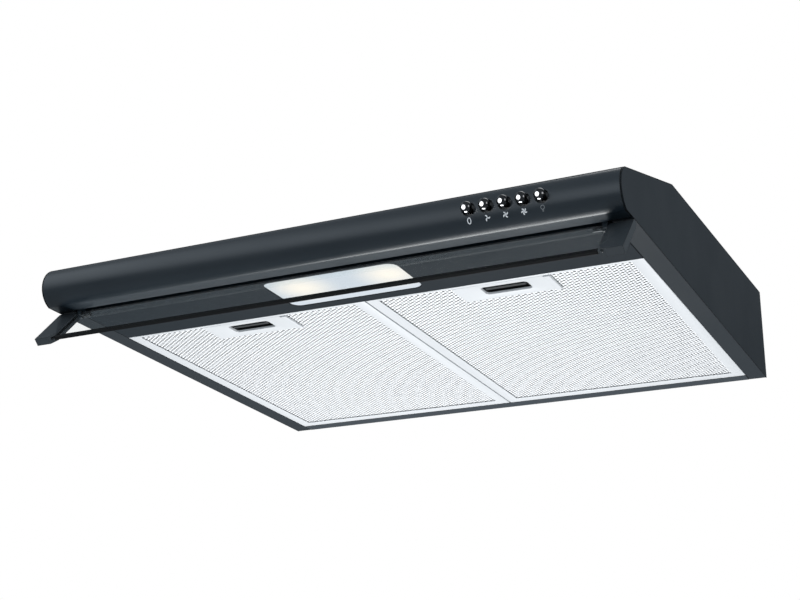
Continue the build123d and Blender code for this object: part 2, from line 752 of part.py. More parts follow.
with BuildPart() as volute_casing:
    with BuildSketch(Plane.XY.offset(casing_bottom)):
        with BuildLine():
            scroll_outline(casing_wall)
        make_face()
    extrude(amount=casing_height)
    with BuildSketch(Plane.XY.offset(casing_bottom)):
        with BuildLine():
            scroll_outline(casing_rim)
        make_face()
    extrude(amount=casing_wall)
    with BuildSketch(Plane.XY.offset(casing_bottom)):
        with BuildLine():
            scroll_outline()
        make_face()
    extrude(amount=casing_height - casing_wall, mode=Mode.SUBTRACT)
    disc_on(Plane.XY.offset(ceiling), 0, collar_y, collar_r - collar_wall, casing_wall,
            Mode.SUBTRACT)
    with Locations((fan_x, fan_y, casing_top)):
        with PolarLocations(motor_screw_circle_r, 3):
            Hole(motor_screw_r, depth=casing_wall)
    for x, y in lid_screws:
        disc_on(Plane.XY.offset(casing_bottom), x, y, small_screw_r, casing_wall, Mode.SUBTRACT)
save(volute_casing.part, "volute_casing")

with BuildPart() as volute_lid:
    with BuildSketch(Plane.XY.offset(casing_bottom)):
        with BuildLine():
            scroll_outline(casing_rim)
        make_face()
        with Locations((fan_x, fan_y)):
            Circle(inlet_r + casing_wall, mode=Mode.SUBTRACT)
    extrude(amount=-casing_wall)
    with BuildSketch(Plane.XY.offset(casing_bottom - casing_wall)):
        with Locations((fan_x, fan_y)):
            Circle(inlet_r + casing_wall)
            Circle(inlet_r, mode=Mode.SUBTRACT)
    extrude(amount=casing_wall + inlet_lip)
    for x, y in lid_screws:
        disc_on(Plane.XY.offset(casing_bottom), x, y, small_screw_r, -casing_wall, Mode.SUBTRACT)
save(volute_lid.part, "volute_lid")

with BuildPart() as inlet_guard:
    guard_plane = Plane.XY.offset(casing_bottom - casing_wall)
    guard_r = inlet_r + guard_margin
    with BuildSketch(guard_plane):
        for radius in (*guard_rings, guard_r):
            with Locations((fan_x, fan_y)):
                Circle(radius)
                Circle(radius - guard_bar, mode=Mode.SUBTRACT)
        with Locations((fan_x, fan_y)):
            Circle(guard_rings[0] / 2)
            with PolarLocations(guard_r / 2, guard_spokes):
                Rectangle(guard_r - guard_bar, guard_bar)
    extrude(amount=-guard_bar)
save(inlet_guard.part, "inlet_guard")

with BuildPart() as casing_screws:
    for x, y in lid_screws:
        disc_on(Plane.XY.offset(casing_bottom - casing_wall), x, y, small_head_r, -small_head)
        disc_on(Plane.XY.offset(casing_bottom - casing_wall), x, y, small_screw_r,
                2 * casing_wall)
save(casing_screws.part, "casing_screws")

with BuildPart() as impeller:
    blade_ring = impeller_r - blade_depth
    for low in (impeller_bottom, impeller_top - ring_height):
        with BuildSketch(Plane.XY.offset(low)):
            with Locations((fan_x, fan_y)):
                Circle(impeller_r)
                Circle(blade_ring, mode=Mode.SUBTRACT)
        extrude(amount=ring_height)
    with BuildSketch(Plane.XY.offset(backplate_top - ring_height)):
        with Locations((fan_x, fan_y)):
            Circle(impeller_r - blade_end_gap)
    extrude(amount=ring_height)
    with BuildSketch(Plane.XY.offset(impeller_bottom)):
        with Locations((fan_x, fan_y)):
            with PolarLocations(impeller_r - blade_depth / 2, blade_count):
                Rectangle((blade_depth - 2 * blade_end_gap) / cos(radians(blade_tilt)), blade_thickness,
                          rotation=blade_tilt)
    extrude(amount=impeller_height)
    disc_on(Plane.XY.offset(backplate_top - ring_height - hub_height), fan_x, fan_y, hub_r,
            hub_height)
    disc_on(Plane.XY.offset(backplate_top - ring_height - hub_height), fan_x, fan_y, shaft_r,
            hub_height + ring_height, Mode.SUBTRACT)
save(impeller.part, "impeller")

shaft_low = backplate_top - ring_height - hub_height
shaft_top = motor_under + shaft_in_motor
with BuildPart() as motor_shaft:
    disc_on(Plane.XY.offset(shaft_low), fan_x, fan_y, shaft_r, shaft_top - shaft_low)
save(motor_shaft.part, "motor_shaft")

with BuildPart() as motor_body:
    disc_on(Plane.XY.offset(motor_under), fan_x, fan_y, motor_r, motor_height)
    fillet(motor_body.edges().filter_by(GeomType.CIRCLE).sort_by(Axis.Z)[0], radius=motor_round)
    disc_on(Plane.XY.offset(motor_under), fan_x, fan_y, shaft_r + shaft_running,
            shaft_top - motor_under + shaft_running, Mode.SUBTRACT)
save(motor_body.part, "motor_body")

with BuildPart() as motor_bracket:
    disc_on(Plane.XY.offset(bracket_under), fan_x, fan_y, bracket_r, plate_thickness)
    with Locations((fan_x, fan_y, bracket_top)):
        with PolarLocations(motor_screw_circle_r, 3):
            Hole(motor_screw_r, depth=plate_thickness)
save(motor_bracket.part, "motor_bracket")

with BuildPart() as motor_bushes:
    with BuildSketch(Plane.XY.offset(bracket_top)):
        with Locations((fan_x, fan_y)):
            with PolarLocations(motor_screw_circle_r, 3):
                Circle(bush_r)
                Circle(motor_screw_r, mode=Mode.SUBTRACT)
    extrude(amount=bush_height)
save(motor_bushes.part, "motor_bushes")

with BuildPart() as motor_screws:
    with BuildSketch(Plane.XY.offset(bracket_under)):
        with Locations((fan_x, fan_y)):
            with PolarLocations(motor_screw_circle_r, 3):
                Circle(motor_head_r)
    extrude(amount=-head_height)
    with BuildSketch(Plane.XY.offset(bracket_under)):
        with Locations((fan_x, fan_y)):
            with PolarLocations(motor_screw_circle_r, 3):
                Circle(motor_screw_r)
    extrude(amount=casing_top - bracket_under)
save(motor_screws.part, "motor_screws")

# ---------------------------------------------------------------- outlet
collar_bore = collar_r - collar_wall
axis_z = flap_axis_height
ledge_top = axis_z - flap_thickness / 2 - ledge_gap
with BuildPart() as outlet_collar:
    with BuildSketch(Plane.XY):
        with Locations((0, collar_y)):
            Circle(collar_r)
            Circle(collar_bore, mode=Mode.SUBTRACT)
    extrude(amount=collar_height)
    with BuildSketch(Plane.XY):
        with Locations((0, collar_y)):
            Circle(collar_flange_r)
            Circle(collar_bore, mode=Mode.SUBTRACT)
    extrude(amount=collar_flange)
    with BuildSketch(Plane.XY.offset(ledge_top - ledge_height)):
        with Locations((0, collar_y)):
            Circle(collar_bore)
            Circle(collar_bore - ledge_width, mode=Mode.SUBTRACT)
    extrude(amount=ledge_height)
    disc_on(Plane.YZ.offset(-collar_r), collar_y, axis_z, axle_r, 2 * collar_r, Mode.SUBTRACT)
save(outlet_collar.part, "outlet_collar")

with BuildPart() as damper_axle:
    disc_on(Plane.YZ.offset(-collar_r + collar_wall / 2), collar_y, axis_z, axle_r,
            2 * collar_r - collar_wall)
save(damper_axle.part, "damper_axle")

flap_r = collar_bore - flap_edge_gap
for name, side in (("front", -1), ("back", 1)):
    knuckles = knuckle_places[name]
    with BuildPart() as flap:
        with BuildSketch(Plane.XY.offset(axis_z - flap_thickness / 2)):
            with Locations((0, collar_y)):
                Circle(flap_r)
            with Locations((0, collar_y - side * (flap_r - flap_from_axis))):
                Rectangle(3 * flap_r, 2 * flap_r, mode=Mode.SUBTRACT)
        extrude(amount=flap_thickness)
        for x in (-knuckles, knuckles):
            disc_on(Plane.YZ.offset(x - knuckle_length / 2), collar_y, axis_z, knuckle_r,
                    knuckle_length)
            box_on(Plane.XY.offset(axis_z - flap_thickness / 2), x - knuckle_length / 2,
                   x + knuckle_length / 2, collar_y, collar_y + side * (flap_from_axis + knuckle_root),
                   flap_thickness)
            disc_on(Plane.YZ.offset(x - knuckle_length / 2), collar_y, axis_z,
                    axle_r + axle_running, knuckle_length, Mode.SUBTRACT)
    save(flap.part, f"damper_flap_{name}")

# ---------------------------------------------------------------- electrics
capacitor_y = back_y - capacitor_to_back
with BuildPart() as capacitor:
    capacitor_z = top_under - clip_sheet - capacitor_r
    disc_on(Plane.XZ.offset(-capacitor_y), capacitor_x, capacitor_z, capacitor_r,
            -capacitor_length)
    fillet(capacitor.edges().filter_by(GeomType.CIRCLE), radius=capacitor_round)
save(capacitor.part, "capacitor")

with BuildPart() as capacitor_clip:
    clip_y = capacitor_y + capacitor_length / 2
    with BuildSketch(Plane.XZ.offset(-clip_y)):
        with Locations((capacitor_x, capacitor_z)):
            Circle(capacitor_r + clip_sheet)
            Circle(capacitor_r, mode=Mode.SUBTRACT)
        with Locations((capacitor_x + clip_foot, top_under - clip_sheet / 2)):
            Rectangle(clip_foot_length, clip_sheet)
        with Locations((capacitor_x, capacitor_z)):
            Circle(capacitor_r, mode=Mode.SUBTRACT)
    extrude(amount=-clip_width)
save(capacitor_clip.part, "capacitor_clip")

terminal_y = back_y - terminal_to_back
with BuildPart() as terminal_box:
    half_x, half_y = terminal_size_x / 2, terminal_size_y / 2
    box_on(Plane.XY.offset(top_under), terminal_x - half_x, terminal_x + half_x,
           terminal_y - half_y, terminal_y + half_y, -terminal_height)
    box_on(Plane.XY.offset(top_under - terminal_wall), terminal_x - half_x + terminal_wall,
           terminal_x + half_x - terminal_wall, terminal_y - half_y + terminal_wall,
           terminal_y + half_y - terminal_wall, -terminal_height, Mode.SUBTRACT)
save(terminal_box.part, "terminal_box")

with BuildPart() as terminal_lid:
    box_on(Plane.XY.offset(top_under - terminal_height), terminal_x - half_x,
           terminal_x + half_x, terminal_y - half_y, terminal_y + half_y, -terminal_wall)
    inset = terminal_wall + filter_play
    box_on(Plane.XY.offset(top_under - terminal_height), terminal_x - half_x + inset,
           terminal_x + half_x - inset, terminal_y - half_y + inset, terminal_y + half_y - inset,
           terminal_wall)
save(terminal_lid.part, "terminal_lid")

gland_y = back_y - gland_to_back
with BuildPart() as cable_gland:
    disc_on(Plane.XY, gland_x, gland_y, gland_body_r, -gland_body)
    disc_on(Plane.XY.offset(top_under), gland_x, gland_y, gland_flange_r, -gland_flange)
    with BuildSketch(Plane.XY.offset(top_under - gland_flange)):
        with Locations((gland_x, gland_y)):
            RegularPolygon(gland_nut_r, 6)
    extrude(amount=-gland_nut)
    disc_on(Plane.XY, gland_x, gland_y, gland_bore_r, -gland_body, Mode.SUBTRACT)
save(cable_gland.part, "cable_gland")
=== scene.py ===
"""Looks of an under cabinet range hood, dressed around its fixed CAD frame.

Everything is in metres: +X is the hood's right, +Y the wall, +Z up. The underside is a
slightly tilted plane, and most pieces are given on it: x across, v towards the wall
(negative in front of it) and w up into the hood.
"""

import logging
import math
from dataclasses import dataclass, field
from enum import Enum
from typing import Callable, Sequence

import bmesh
import bpy
import numpy as np
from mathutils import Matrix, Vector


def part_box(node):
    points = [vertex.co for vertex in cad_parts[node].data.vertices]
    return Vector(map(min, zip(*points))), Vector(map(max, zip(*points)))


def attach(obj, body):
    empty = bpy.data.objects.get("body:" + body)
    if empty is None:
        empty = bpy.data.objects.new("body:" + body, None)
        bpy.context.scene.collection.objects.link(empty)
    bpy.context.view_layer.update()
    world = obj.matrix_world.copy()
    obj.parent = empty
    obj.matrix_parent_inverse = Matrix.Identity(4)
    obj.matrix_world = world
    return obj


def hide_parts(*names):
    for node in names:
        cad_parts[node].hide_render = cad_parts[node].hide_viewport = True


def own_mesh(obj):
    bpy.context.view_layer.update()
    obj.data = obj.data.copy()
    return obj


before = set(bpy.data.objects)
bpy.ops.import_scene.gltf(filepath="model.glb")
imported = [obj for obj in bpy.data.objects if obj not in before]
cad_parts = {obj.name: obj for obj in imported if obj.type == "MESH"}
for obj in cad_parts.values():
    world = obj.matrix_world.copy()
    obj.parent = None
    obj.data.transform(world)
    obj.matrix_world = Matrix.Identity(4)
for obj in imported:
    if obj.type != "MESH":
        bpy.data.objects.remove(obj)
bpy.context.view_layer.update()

LOG = logging.getLogger("range_hood")
MM = 0.001
# A fold sharper than SHARP stays crisp, places nearer than SNAP are the same place, and points
# nearer than WELD are joined.
SHARP = math.radians(35)
SNAP = 0.001 * MM
WELD = 0.002 * MM
# Least angle, in degrees, that counts as an edge to break on a kept node and on a new piece.
NODE_EDGE = 32.0
PIECE_EDGE = 40.0
Array = np.ndarray
Colour = tuple[float, float, float]


# ---------------------------------------------------------------- datums
class Side(Enum):
    """Left or right half of the hood, as the sign of x."""

    LEFT = -1
    RIGHT = 1

    @property
    def tag(self) -> str:
        """The side's name as node names end in it."""
        return self.name.lower()


@dataclass(frozen=True)
class Soffit:
    """The tilted plane of the underside.

    Its height over the wall is the shell's lowest edge, and it climbs by rise over run.
    """

    back_y: float
    low_z: float
    rise: float = 22 * MM
    run: float = 498 * MM

    @property
    def tilt(self) -> float:
        """Slope of the underside, in radians."""
        return math.atan(self.rise / self.run)

    @property
    def length(self) -> float:
        """Length of the underside from the wall to the fascia."""
        return math.hypot(self.rise, self.run)

    def place(self, x: Array, v: Array, w: Array) -> Array:
        """Turn underside coordinates into the row frame: a rotation about x, then a shift.

        Args:
            x: Across the hood.
            v: Along the underside, towards the wall.
            w: Up into the hood.

        Returns:
            Points, with a last axis of three.
        """
        x, v, w = np.broadcast_arrays(x, v, w)
        cos, sin = math.cos(self.tilt), math.sin(self.tilt)
        return np.stack([x, self.back_y + v * cos + w * sin, self.low_z - v * sin + w * cos], axis=-1)

    def outline(self, shape: Array, w: float, x: float = 0.0, v: float = 0.0) -> Array:
        """Place a flat outline at one height.

        Args:
            shape: Points by two, across and along the underside.
            w: Height.
            x: Added to the first axis.
            v: Added to the second axis.

        Returns:
            Points by three.
        """
        return self.place(x + shape[:, 0], v + shape[:, 1], np.full(len(shape), w))

    def read(self, y: float, z: float) -> tuple[float, float]:
        """Turn a point in the row frame back into underside coordinates.

        Args:
            y: Towards the wall.
            z: Up.

        Returns:
            v along the underside and w up into the hood.
        """
        cos, sin = math.cos(self.tilt), math.sin(self.tilt)
        y, z = y - self.back_y, z - self.low_z
        return y * cos - z * sin, y * sin + z * cos


def read_soffit() -> Soffit:
    """Set the underside's plane on the back panel, whose outer face meets the wall.

    Returns:
        The plane.
    """
    _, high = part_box("back_panel")
    low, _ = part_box("side_panel_right")
    return Soffit(back_y=high.y, low_z=low.z)


SOFFIT = read_soffit()


def node_middle(name: str) -> tuple[float, float, float]:
    """Middle of a CAD node's box.

    Args:
        name: The node.

    Returns:
        Its x, y and z.
    """
    low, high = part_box(name)
    return (low.x + high.x) / 2, (low.y + high.y) / 2, (low.z + high.z) / 2


# ---------------------------------------------------------------- surfaces
@dataclass
class Surface:
    """Points and faces that make up one mesh, joined from patches."""

    points: list[Array] = field(default_factory=list)
    quads: list[Array] = field(default_factory=list)
    tris: list[Array] = field(default_factory=list)

    def add(self, points: Array, quads: Array | None = None, tris: Array | None = None) -> None:
        """Add a patch that counts its own points from zero.

        Args:
            points: Points of the patch.
            quads: Four-sided faces.
            tris: Three-sided faces.
        """
        start = sum(len(p) for p in self.points)
        self.points.append(np.asarray(points, float).reshape(-1, 3))
        if quads is not None and len(quads):
            self.quads.append(np.asarray(quads) + start)
        if tris is not None and len(tris):
            self.tris.append(np.asarray(tris) + start)

    def add_grid(self, points: Array, close_rows: bool = False, close_columns: bool = False) -> None:
        """Add a grid of points: each cell of four neighbours is one face.

        Args:
            points: Rows by columns by three.
            close_rows: Join the last row to the first.
            close_columns: Join the last column to the first.
        """
        rows, columns = points.shape[:2]
        self.add(points, grid_faces(rows, columns, close_rows, close_columns))

    def add_cap(self, ring: Array, flip: bool = False) -> None:
        """Close a ring of points with a fan from its middle.

        Args:
            ring: Points around the ring.
            flip: Turn the faces over.
        """
        count = len(ring)
        points = np.vstack([ring, ring.mean(axis=0)])
        around = np.arange(count)
        tris = np.stack([around, np.roll(around, -1), np.full(count, count)], axis=1)
        self.add(points, tris=tris[:, ::-1] if flip else tris)

    def add_bar(self, rings: Array) -> None:
        """Add a bar: closed rings one after the other, with a cap on both ends.

        Args:
            rings: Rings by points by three.
        """
        self.add_grid(rings, close_columns=True)
        self.add_cap(rings[0])
        self.add_cap(rings[-1], flip=True)

    def build(self, name: str, solid: bool = True,
              towards: Sequence[float] = (0, 0, -1)) -> bpy.types.Object:
        """Make the mesh object, with doubles merged and faces outwards.

        A closed mesh faces outwards when the volume under its faces adds up to a positive
        number; an open skin faces outwards when its faces add up to the given direction.

        Args:
            name: Name of the piece.
            solid: True for a closed mesh.
            towards: Direction that an open skin faces.

        Returns:
            The new object, linked to the scene.
        """
        points = np.vstack(self.points)
        keys = np.round(points / WELD).astype(np.int64)
        _, first, where = np.unique(keys, axis=0, return_index=True, return_inverse=True)
        points, where = points[first], where.reshape(-1)
        quads = np.vstack([np.zeros((0, 4), int), *(clean_faces(where[f]) for f in self.quads)])
        tris = np.vstack([np.zeros((0, 3), int), *(clean_faces(where[f]) for f in self.tris)])
        quads, more = split_folded(quads)
        tris = np.vstack([tris, more])
        sizes = np.concatenate([np.full(len(quads), 4), np.full(len(tris), 3)]).astype(np.int32)
        corners = np.concatenate([quads.ravel(), tris.ravel()]).astype(np.int32)
        mesh = bpy.data.meshes.new(name)
        mesh.vertices.add(len(points))
        mesh.vertices.foreach_set("co", points.astype(np.float32).ravel())
        mesh.loops.add(len(corners))
        mesh.loops.foreach_set("vertex_index", corners)
        mesh.polygons.add(len(sizes))
        mesh.polygons.foreach_set("loop_start", (np.cumsum(sizes) - sizes).astype(np.int32))
        mesh.polygons.foreach_set("use_smooth", np.ones(len(sizes), bool))
        mesh.update(calc_edges=True)
        mesh.validate()
        turn_outwards(mesh, None if solid else towards)
        mesh.set_sharp_from_angle(angle=SHARP)
        piece = bpy.data.objects.new(name, mesh)
        bpy.context.scene.collection.objects.link(piece)
        return piece


def grid_faces(rows: int, columns: int, close_rows: bool = False, close_columns: bool = False) -> Array:
    """Faces of a grid whose points are counted row by row.

    Args:
        rows: Number of rows.
        columns: Number of columns.
        close_rows: Join the last row to the first.
        close_columns: Join the last column to the first.

    Returns:
        One row of four point numbers for each face.
    """
    r = np.arange(rows if close_rows else rows - 1)[:, None]
    c = np.arange(columns if close_columns else columns - 1)[None, :]
    r1, c1 = (r + 1) % rows, (c + 1) % columns
    return np.stack([r * columns + c, r * columns + c1, r1 * columns + c1, r1 * columns + c],
                    axis=-1).reshape(-1, 4)


def clean_faces(faces: Array) -> Array:
    """Drop the faces that merged points have shrunk to a line.

    Args:
        faces: Faces of equal size, as point numbers.

    Returns:
        The faces with three or more different points.
    """
    ordered = np.sort(faces, axis=1)
    kinds = 1 + (np.diff(ordered, axis=1) > 0).sum(axis=1)
    return faces[kinds >= 3]


def split_folded(quads: Array) -> tuple[Array, Array]:
    """Turn four-sided faces with one doubled corner into three-sided ones.

    Args:
        quads: Four-sided faces.

    Returns:
        The sound faces, and the three-sided ones made from the rest.
    """
    doubled = quads == np.roll(quads, -1, axis=1)
    folded = doubled.any(axis=1)
    bad, which = quads[folded], doubled[folded].argmax(axis=1)
    keep = (which[:, None] + np.arange(1, 4)[None, :]) % 4
    return quads[~folded], np.take_along_axis(bad, keep, axis=1)


def turn_outwards(mesh: bpy.types.Mesh, towards: Sequence[float] | None) -> None:
    """Make the faces of every shell agree and point outwards.

    Args:
        mesh: The mesh.
        towards: For an open skin, the direction that its faces add up to.
    """
    work = bmesh.new()
    work.from_mesh(mesh)
    bmesh.ops.recalc_face_normals(work, faces=work.faces)
    if towards is not None:
        work.normal_update()
        total = sum((face.normal * face.calc_area() for face in work.faces), Vector())
        if total.dot(Vector(towards)) < 0:
            bmesh.ops.reverse_faces(work, faces=work.faces)
    work.to_mesh(mesh)
    work.free()


def soften(corners: Sequence[tuple[float, float]], radii: Sequence[float], steps: int = 4,
           closed: bool = False) -> Array:
    """Round the corners of a polyline: each is a quadratic curve between its two legs.

    Args:
        corners: Corner points.
        radii: How far from each corner its curve starts; 0 keeps the corner sharp.
        steps: Points on each curve, less one.
        closed: True if the last corner leads back to the first.

    Returns:
        Points along the softened line.
    """
    points = np.asarray(corners, float)
    count = len(points)
    out: list[Array] = []
    for i, (corner, radius) in enumerate(zip(points, radii)):
        if radius <= 0 or (not closed and i in (0, count - 1)):
            out.append(corner[None])
            continue
        before = points[i - 1] - corner
        after = points[(i + 1) % count] - corner
        start = corner + before / np.linalg.norm(before) * radius
        end = corner + after / np.linalg.norm(after) * radius
        t = np.linspace(0, 1, steps + 1)[:, None]
        out.append((1 - t) ** 2 * start + 2 * t * (1 - t) * corner + t**2 * end)
    return np.vstack(out)


def rounded_rectangle(length: float, width: float, radius: float, per_corner: int = 8) -> Array:
    """Outline of a rectangle with round corners, centred on zero, anticlockwise.

    Args:
        length: Size along the first axis.
        width: Size along the second axis.
        radius: Corner radius.
        per_corner: Points on each corner.

    Returns:
        Points by two.
    """
    angles = np.linspace(0, math.pi / 2, per_corner)
    arcs = []
    for k, (sx, sy) in enumerate(((1, 1), (-1, 1), (-1, -1), (1, -1))):
        turn = angles + k * math.pi / 2
        centre = np.array([sx * (length / 2 - radius), sy * (width / 2 - radius)])
        arcs.append(centre + radius * np.stack([np.cos(turn), np.sin(turn)], axis=1))
    return np.vstack(arcs)


def revolve(profile: Array, origin: Sequence[float], axis: Sequence[float], around: int = 48) -> Array:
    """Turn a profile round an axis: each point keeps its height and circles at its radius.

    Args:
        profile: Radius and height of each point.
        origin: Where height is zero.
        axis: Direction of height.
        around: Number of columns.

    Returns:
        Grid of points, one row for each profile point.
    """
    up = np.asarray(axis, float) / np.linalg.norm(axis)
    helper = np.array([1.0, 0, 0]) if abs(up[0]) < 0.9 else np.array([0, 1.0, 0])
    first = np.cross(up, helper)
    first /= np.linalg.norm(first)
    second = np.cross(up, first)
    angle = np.linspace(0, 2 * math.pi, around, endpoint=False)
    ring = np.cos(angle)[:, None] * first + np.sin(angle)[:, None] * second
    radius, height = profile[:, 0], profile[:, 1]
    return np.asarray(origin) + height[:, None, None] * up + radius[:, None, None] * ring[None]


# ---------------------------------------------------------------- shader building
Socket = bpy.types.NodeSocket


class NodeSheet:
    """A node tree with short ways to add and join nodes."""

    def __init__(self, tree: bpy.types.NodeTree) -> None:
        """Take over a tree and clear it."""
        self.tree = tree
        tree.nodes.clear()

    def node(self, kind: str, **settings: object) -> bpy.types.Node:
        """Add a node and set its own properties.

        Args:
            kind: Node type without its ShaderNode prefix.
            settings: Properties of the node.

        Returns:
            The node.
        """
        made = self.tree.nodes.new(f"ShaderNode{kind}")
        for key, value in settings.items():
            setattr(made, key, value)
        return made

    def feed(self, socket: Socket, value: "Socket | float | Sequence[float]") -> None:
        """Link a socket into an input, or set the input's constant.

        Args:
            socket: The input.
            value: An output socket, or the constant.
        """
        if isinstance(value, bpy.types.NodeSocket):
            self.tree.links.new(value, socket)
        else:
            socket.default_value = value

    def math(self, operation: str, *values: "Socket | float", clamp: bool = False) -> Socket:
        """Join values by one arithmetic operation.

        Args:
            operation: Name of the Math node's operation.
            values: Its inputs, in order.
            clamp: Keep the result between 0 and 1.

        Returns:
            The result.
        """
        made = self.node("Math", operation=operation, use_clamp=clamp)
        for socket, value in zip(made.inputs, values):
            self.feed(socket, value)
        return made.outputs[0]

    def ramp(self, value: Socket, low: float, high: float, to_low: float = 0.0,
             to_high: float = 1.0) -> Socket:
        """Map a range of a value smoothly onto another range.

        Args:
            value: The value.
            low: Start of its range.
            high: End of its range.
            to_low: Result at the start.
            to_high: Result at the end.

        Returns:
            The mapped value.
        """
        made = self.node("MapRange", interpolation_type="SMOOTHSTEP", clamp=True)
        for socket, number in zip(made.inputs, (value, low, high, to_low, to_high)):
            self.feed(socket, number)
        return made.outputs[0]

    def mix(self, share: "Socket | float", first: "Socket | Colour",
            second: "Socket | Colour") -> Socket:
        """Blend two colours.

        Args:
            share: Share of the second colour.
            first: First colour.
            second: Second colour.

        Returns:
            The blended colour.
        """
        made = self.node("Mix", data_type="RGBA")
        self.feed(made.inputs["Factor"], share)
        for name, value in (("A", first), ("B", second)):
            socket = next(s for s in made.inputs if s.name == name and s.type == "RGBA")
            self.feed(socket, value if isinstance(value, bpy.types.NodeSocket) else (*value, 1.0))
        return next(s for s in made.outputs if s.type == "RGBA")

    def noise(self, scale: float, detail: float = 2.0, rough: float = 0.5,
              stretch: Sequence[float] = (1, 1, 1)) -> Socket:
        """Noise on object coordinates.

        Args:
            scale: Grains per metre.
            detail: Octaves.
            rough: Strength of the finer octaves.
            stretch: Scale of each axis.

        Returns:
            Values around one half.
        """
        where = self.node("TexCoord").outputs["Object"]
        mapping = self.node("Mapping")
        self.feed(mapping.inputs["Vector"], where)
        mapping.inputs["Scale"].default_value = tuple(stretch)
        made = self.node("TexNoise")
        self.feed(made.inputs["Vector"], mapping.outputs[0])
        made.inputs["Scale"].default_value = scale
        made.inputs["Detail"].default_value = detail
        made.inputs["Roughness"].default_value = rough
        return made.outputs[0]

    def bump(self, height: Socket, depth: float) -> Socket:
        """Raise the surface by a value.

        Args:
            height: The value.
            depth: How far a value of one raises it.

        Returns:
            The new normal.
        """
        made = self.node("Bump")
        made.inputs["Distance"].default_value = depth
        self.feed(made.inputs["Height"], height)
        return made.outputs[0]

    def group(self, effect: bpy.types.NodeTree, **values: "Socket | float") -> bpy.types.Node:
        """Place a shared effect and set its inputs.

        Args:
            effect: The group's tree.
            values: Its inputs by name, with spaces written as underscores.

        Returns:
            The group node.
        """
        made = self.node("Group", node_tree=effect)
        for name, value in values.items():
            self.feed(made.inputs[name.replace("_", " ")], value)
        return made


def open_material(name: str) -> tuple[bpy.types.Material, NodeSheet]:
    """Start a node material.

    Args:
        name: Its name.

    Returns:
        The material and its empty node tree.
    """
    material = bpy.data.materials.new(name)
    material.use_nodes = True
    return material, NodeSheet(material.node_tree)


def make_effect(name: str, inputs: dict[str, float], outputs: Sequence[str],
                wire: Callable[[NodeSheet, dict[str, Socket]], dict[str, Socket]]) -> bpy.types.NodeTree:
    """Build one shared effect as a node group.

    Args:
        name: Name of the effect.
        inputs: Names and usual values of its inputs.
        outputs: Names of its outputs.
        wire: Joins the nodes and returns the sockets for the outputs.

    Returns:
        The group's tree.
    """
    tree = bpy.data.node_groups.new(name, "ShaderNodeTree")
    for label, value in inputs.items():
        socket = tree.interface.new_socket(label, in_out="INPUT", socket_type="NodeSocketFloat")
        socket.default_value = value
    for label in outputs:
        tree.interface.new_socket(label, in_out="OUTPUT", socket_type="NodeSocketFloat")
    sheet = NodeSheet(tree)
    entry, leave = tree.nodes.new("NodeGroupInput"), tree.nodes.new("NodeGroupOutput")
    results = wire(sheet, {label: entry.outputs[label] for label in inputs})
    for label, socket in results.items():
        tree.links.new(socket, leave.inputs[label])
    return tree


class Effects:
    """The effects that several finishes share."""

    def __init__(self) -> None:
        """Build every group once."""
        # Edge band: on finishes with an edge tone darker than their colour, as the black paints, it is
        # painted edge shade.
        self.edges = make_effect("edge_band_shade_and_tone", {"Radius": 0.6 * MM, "Strength": 1.0}, ["Edge"],
                                 self._edges)
        self.grain = make_effect("fine_grain", {"Scale": 1400.0, "Slow Scale": 9.0},
                                 ["Grain", "Mottle"], self._grain)
        self.rolled = make_effect("rolled_lines", {"Scale": 260.0}, ["Lines", "Blotch"], self._rolled)

    @staticmethod
    def _edges(sheet: NodeSheet, given: dict[str, Socket]) -> dict[str, Socket]:
        """Edge mask: one less the match between the rounded and the true normal.

        Args:
            sheet: The group's nodes.
            given: Its input sockets.

        Returns:
            The Edge output.
        """
        soft = sheet.node("Bevel", samples=4)
        sheet.feed(soft.inputs["Radius"], given["Radius"])
        true = sheet.node("NewGeometry").outputs["True Normal"]
        dot = sheet.node("VectorMath", operation="DOT_PRODUCT")
        sheet.feed(dot.inputs[0], soft.outputs[0])
        sheet.feed(dot.inputs[1], true)
        bend = sheet.math("SUBTRACT", 1.0, dot.outputs["Value"])
        mask = sheet.ramp(bend, 0.01, 0.16)
        return {"Edge": sheet.math("MULTIPLY", mask, given["Strength"], clamp=True)}

    @staticmethod
    def _grain(sheet: NodeSheet, given: dict[str, Socket]) -> dict[str, Socket]:
        """Powder grain: fine noise for the surface and slow noise for its tone.

        Args:
            sheet: The group's nodes.
            given: Its input sockets.

        Returns:
            The Grain and Mottle outputs.
        """
        fine, slow = sheet.noise(1.0, 2.0), sheet.noise(1.0, 3.0)
        sheet.feed(fine.node.inputs["Scale"], given["Scale"])
        sheet.feed(slow.node.inputs["Scale"], given["Slow Scale"])
        return {"Grain": fine, "Mottle": sheet.ramp(slow, 0.3, 0.7)}

    @staticmethod
    def _rolled(sheet: NodeSheet, given: dict[str, Socket]) -> dict[str, Socket]:
        """Rolled sheet: noise drawn out along x, and broad blotches.

        Args:
            sheet: The group's nodes.
            given: Its input sockets.

        Returns:
            The Lines and Blotch outputs.
        """
        lines = sheet.noise(1.0, 3.0, 0.6, (0.02, 1.0, 1.0))
        sheet.feed(lines.node.inputs["Scale"], given["Scale"])
        return {"Lines": lines, "Blotch": sheet.ramp(sheet.noise(14.0, 3.0), 0.35, 0.65)}


EFFECTS = Effects()


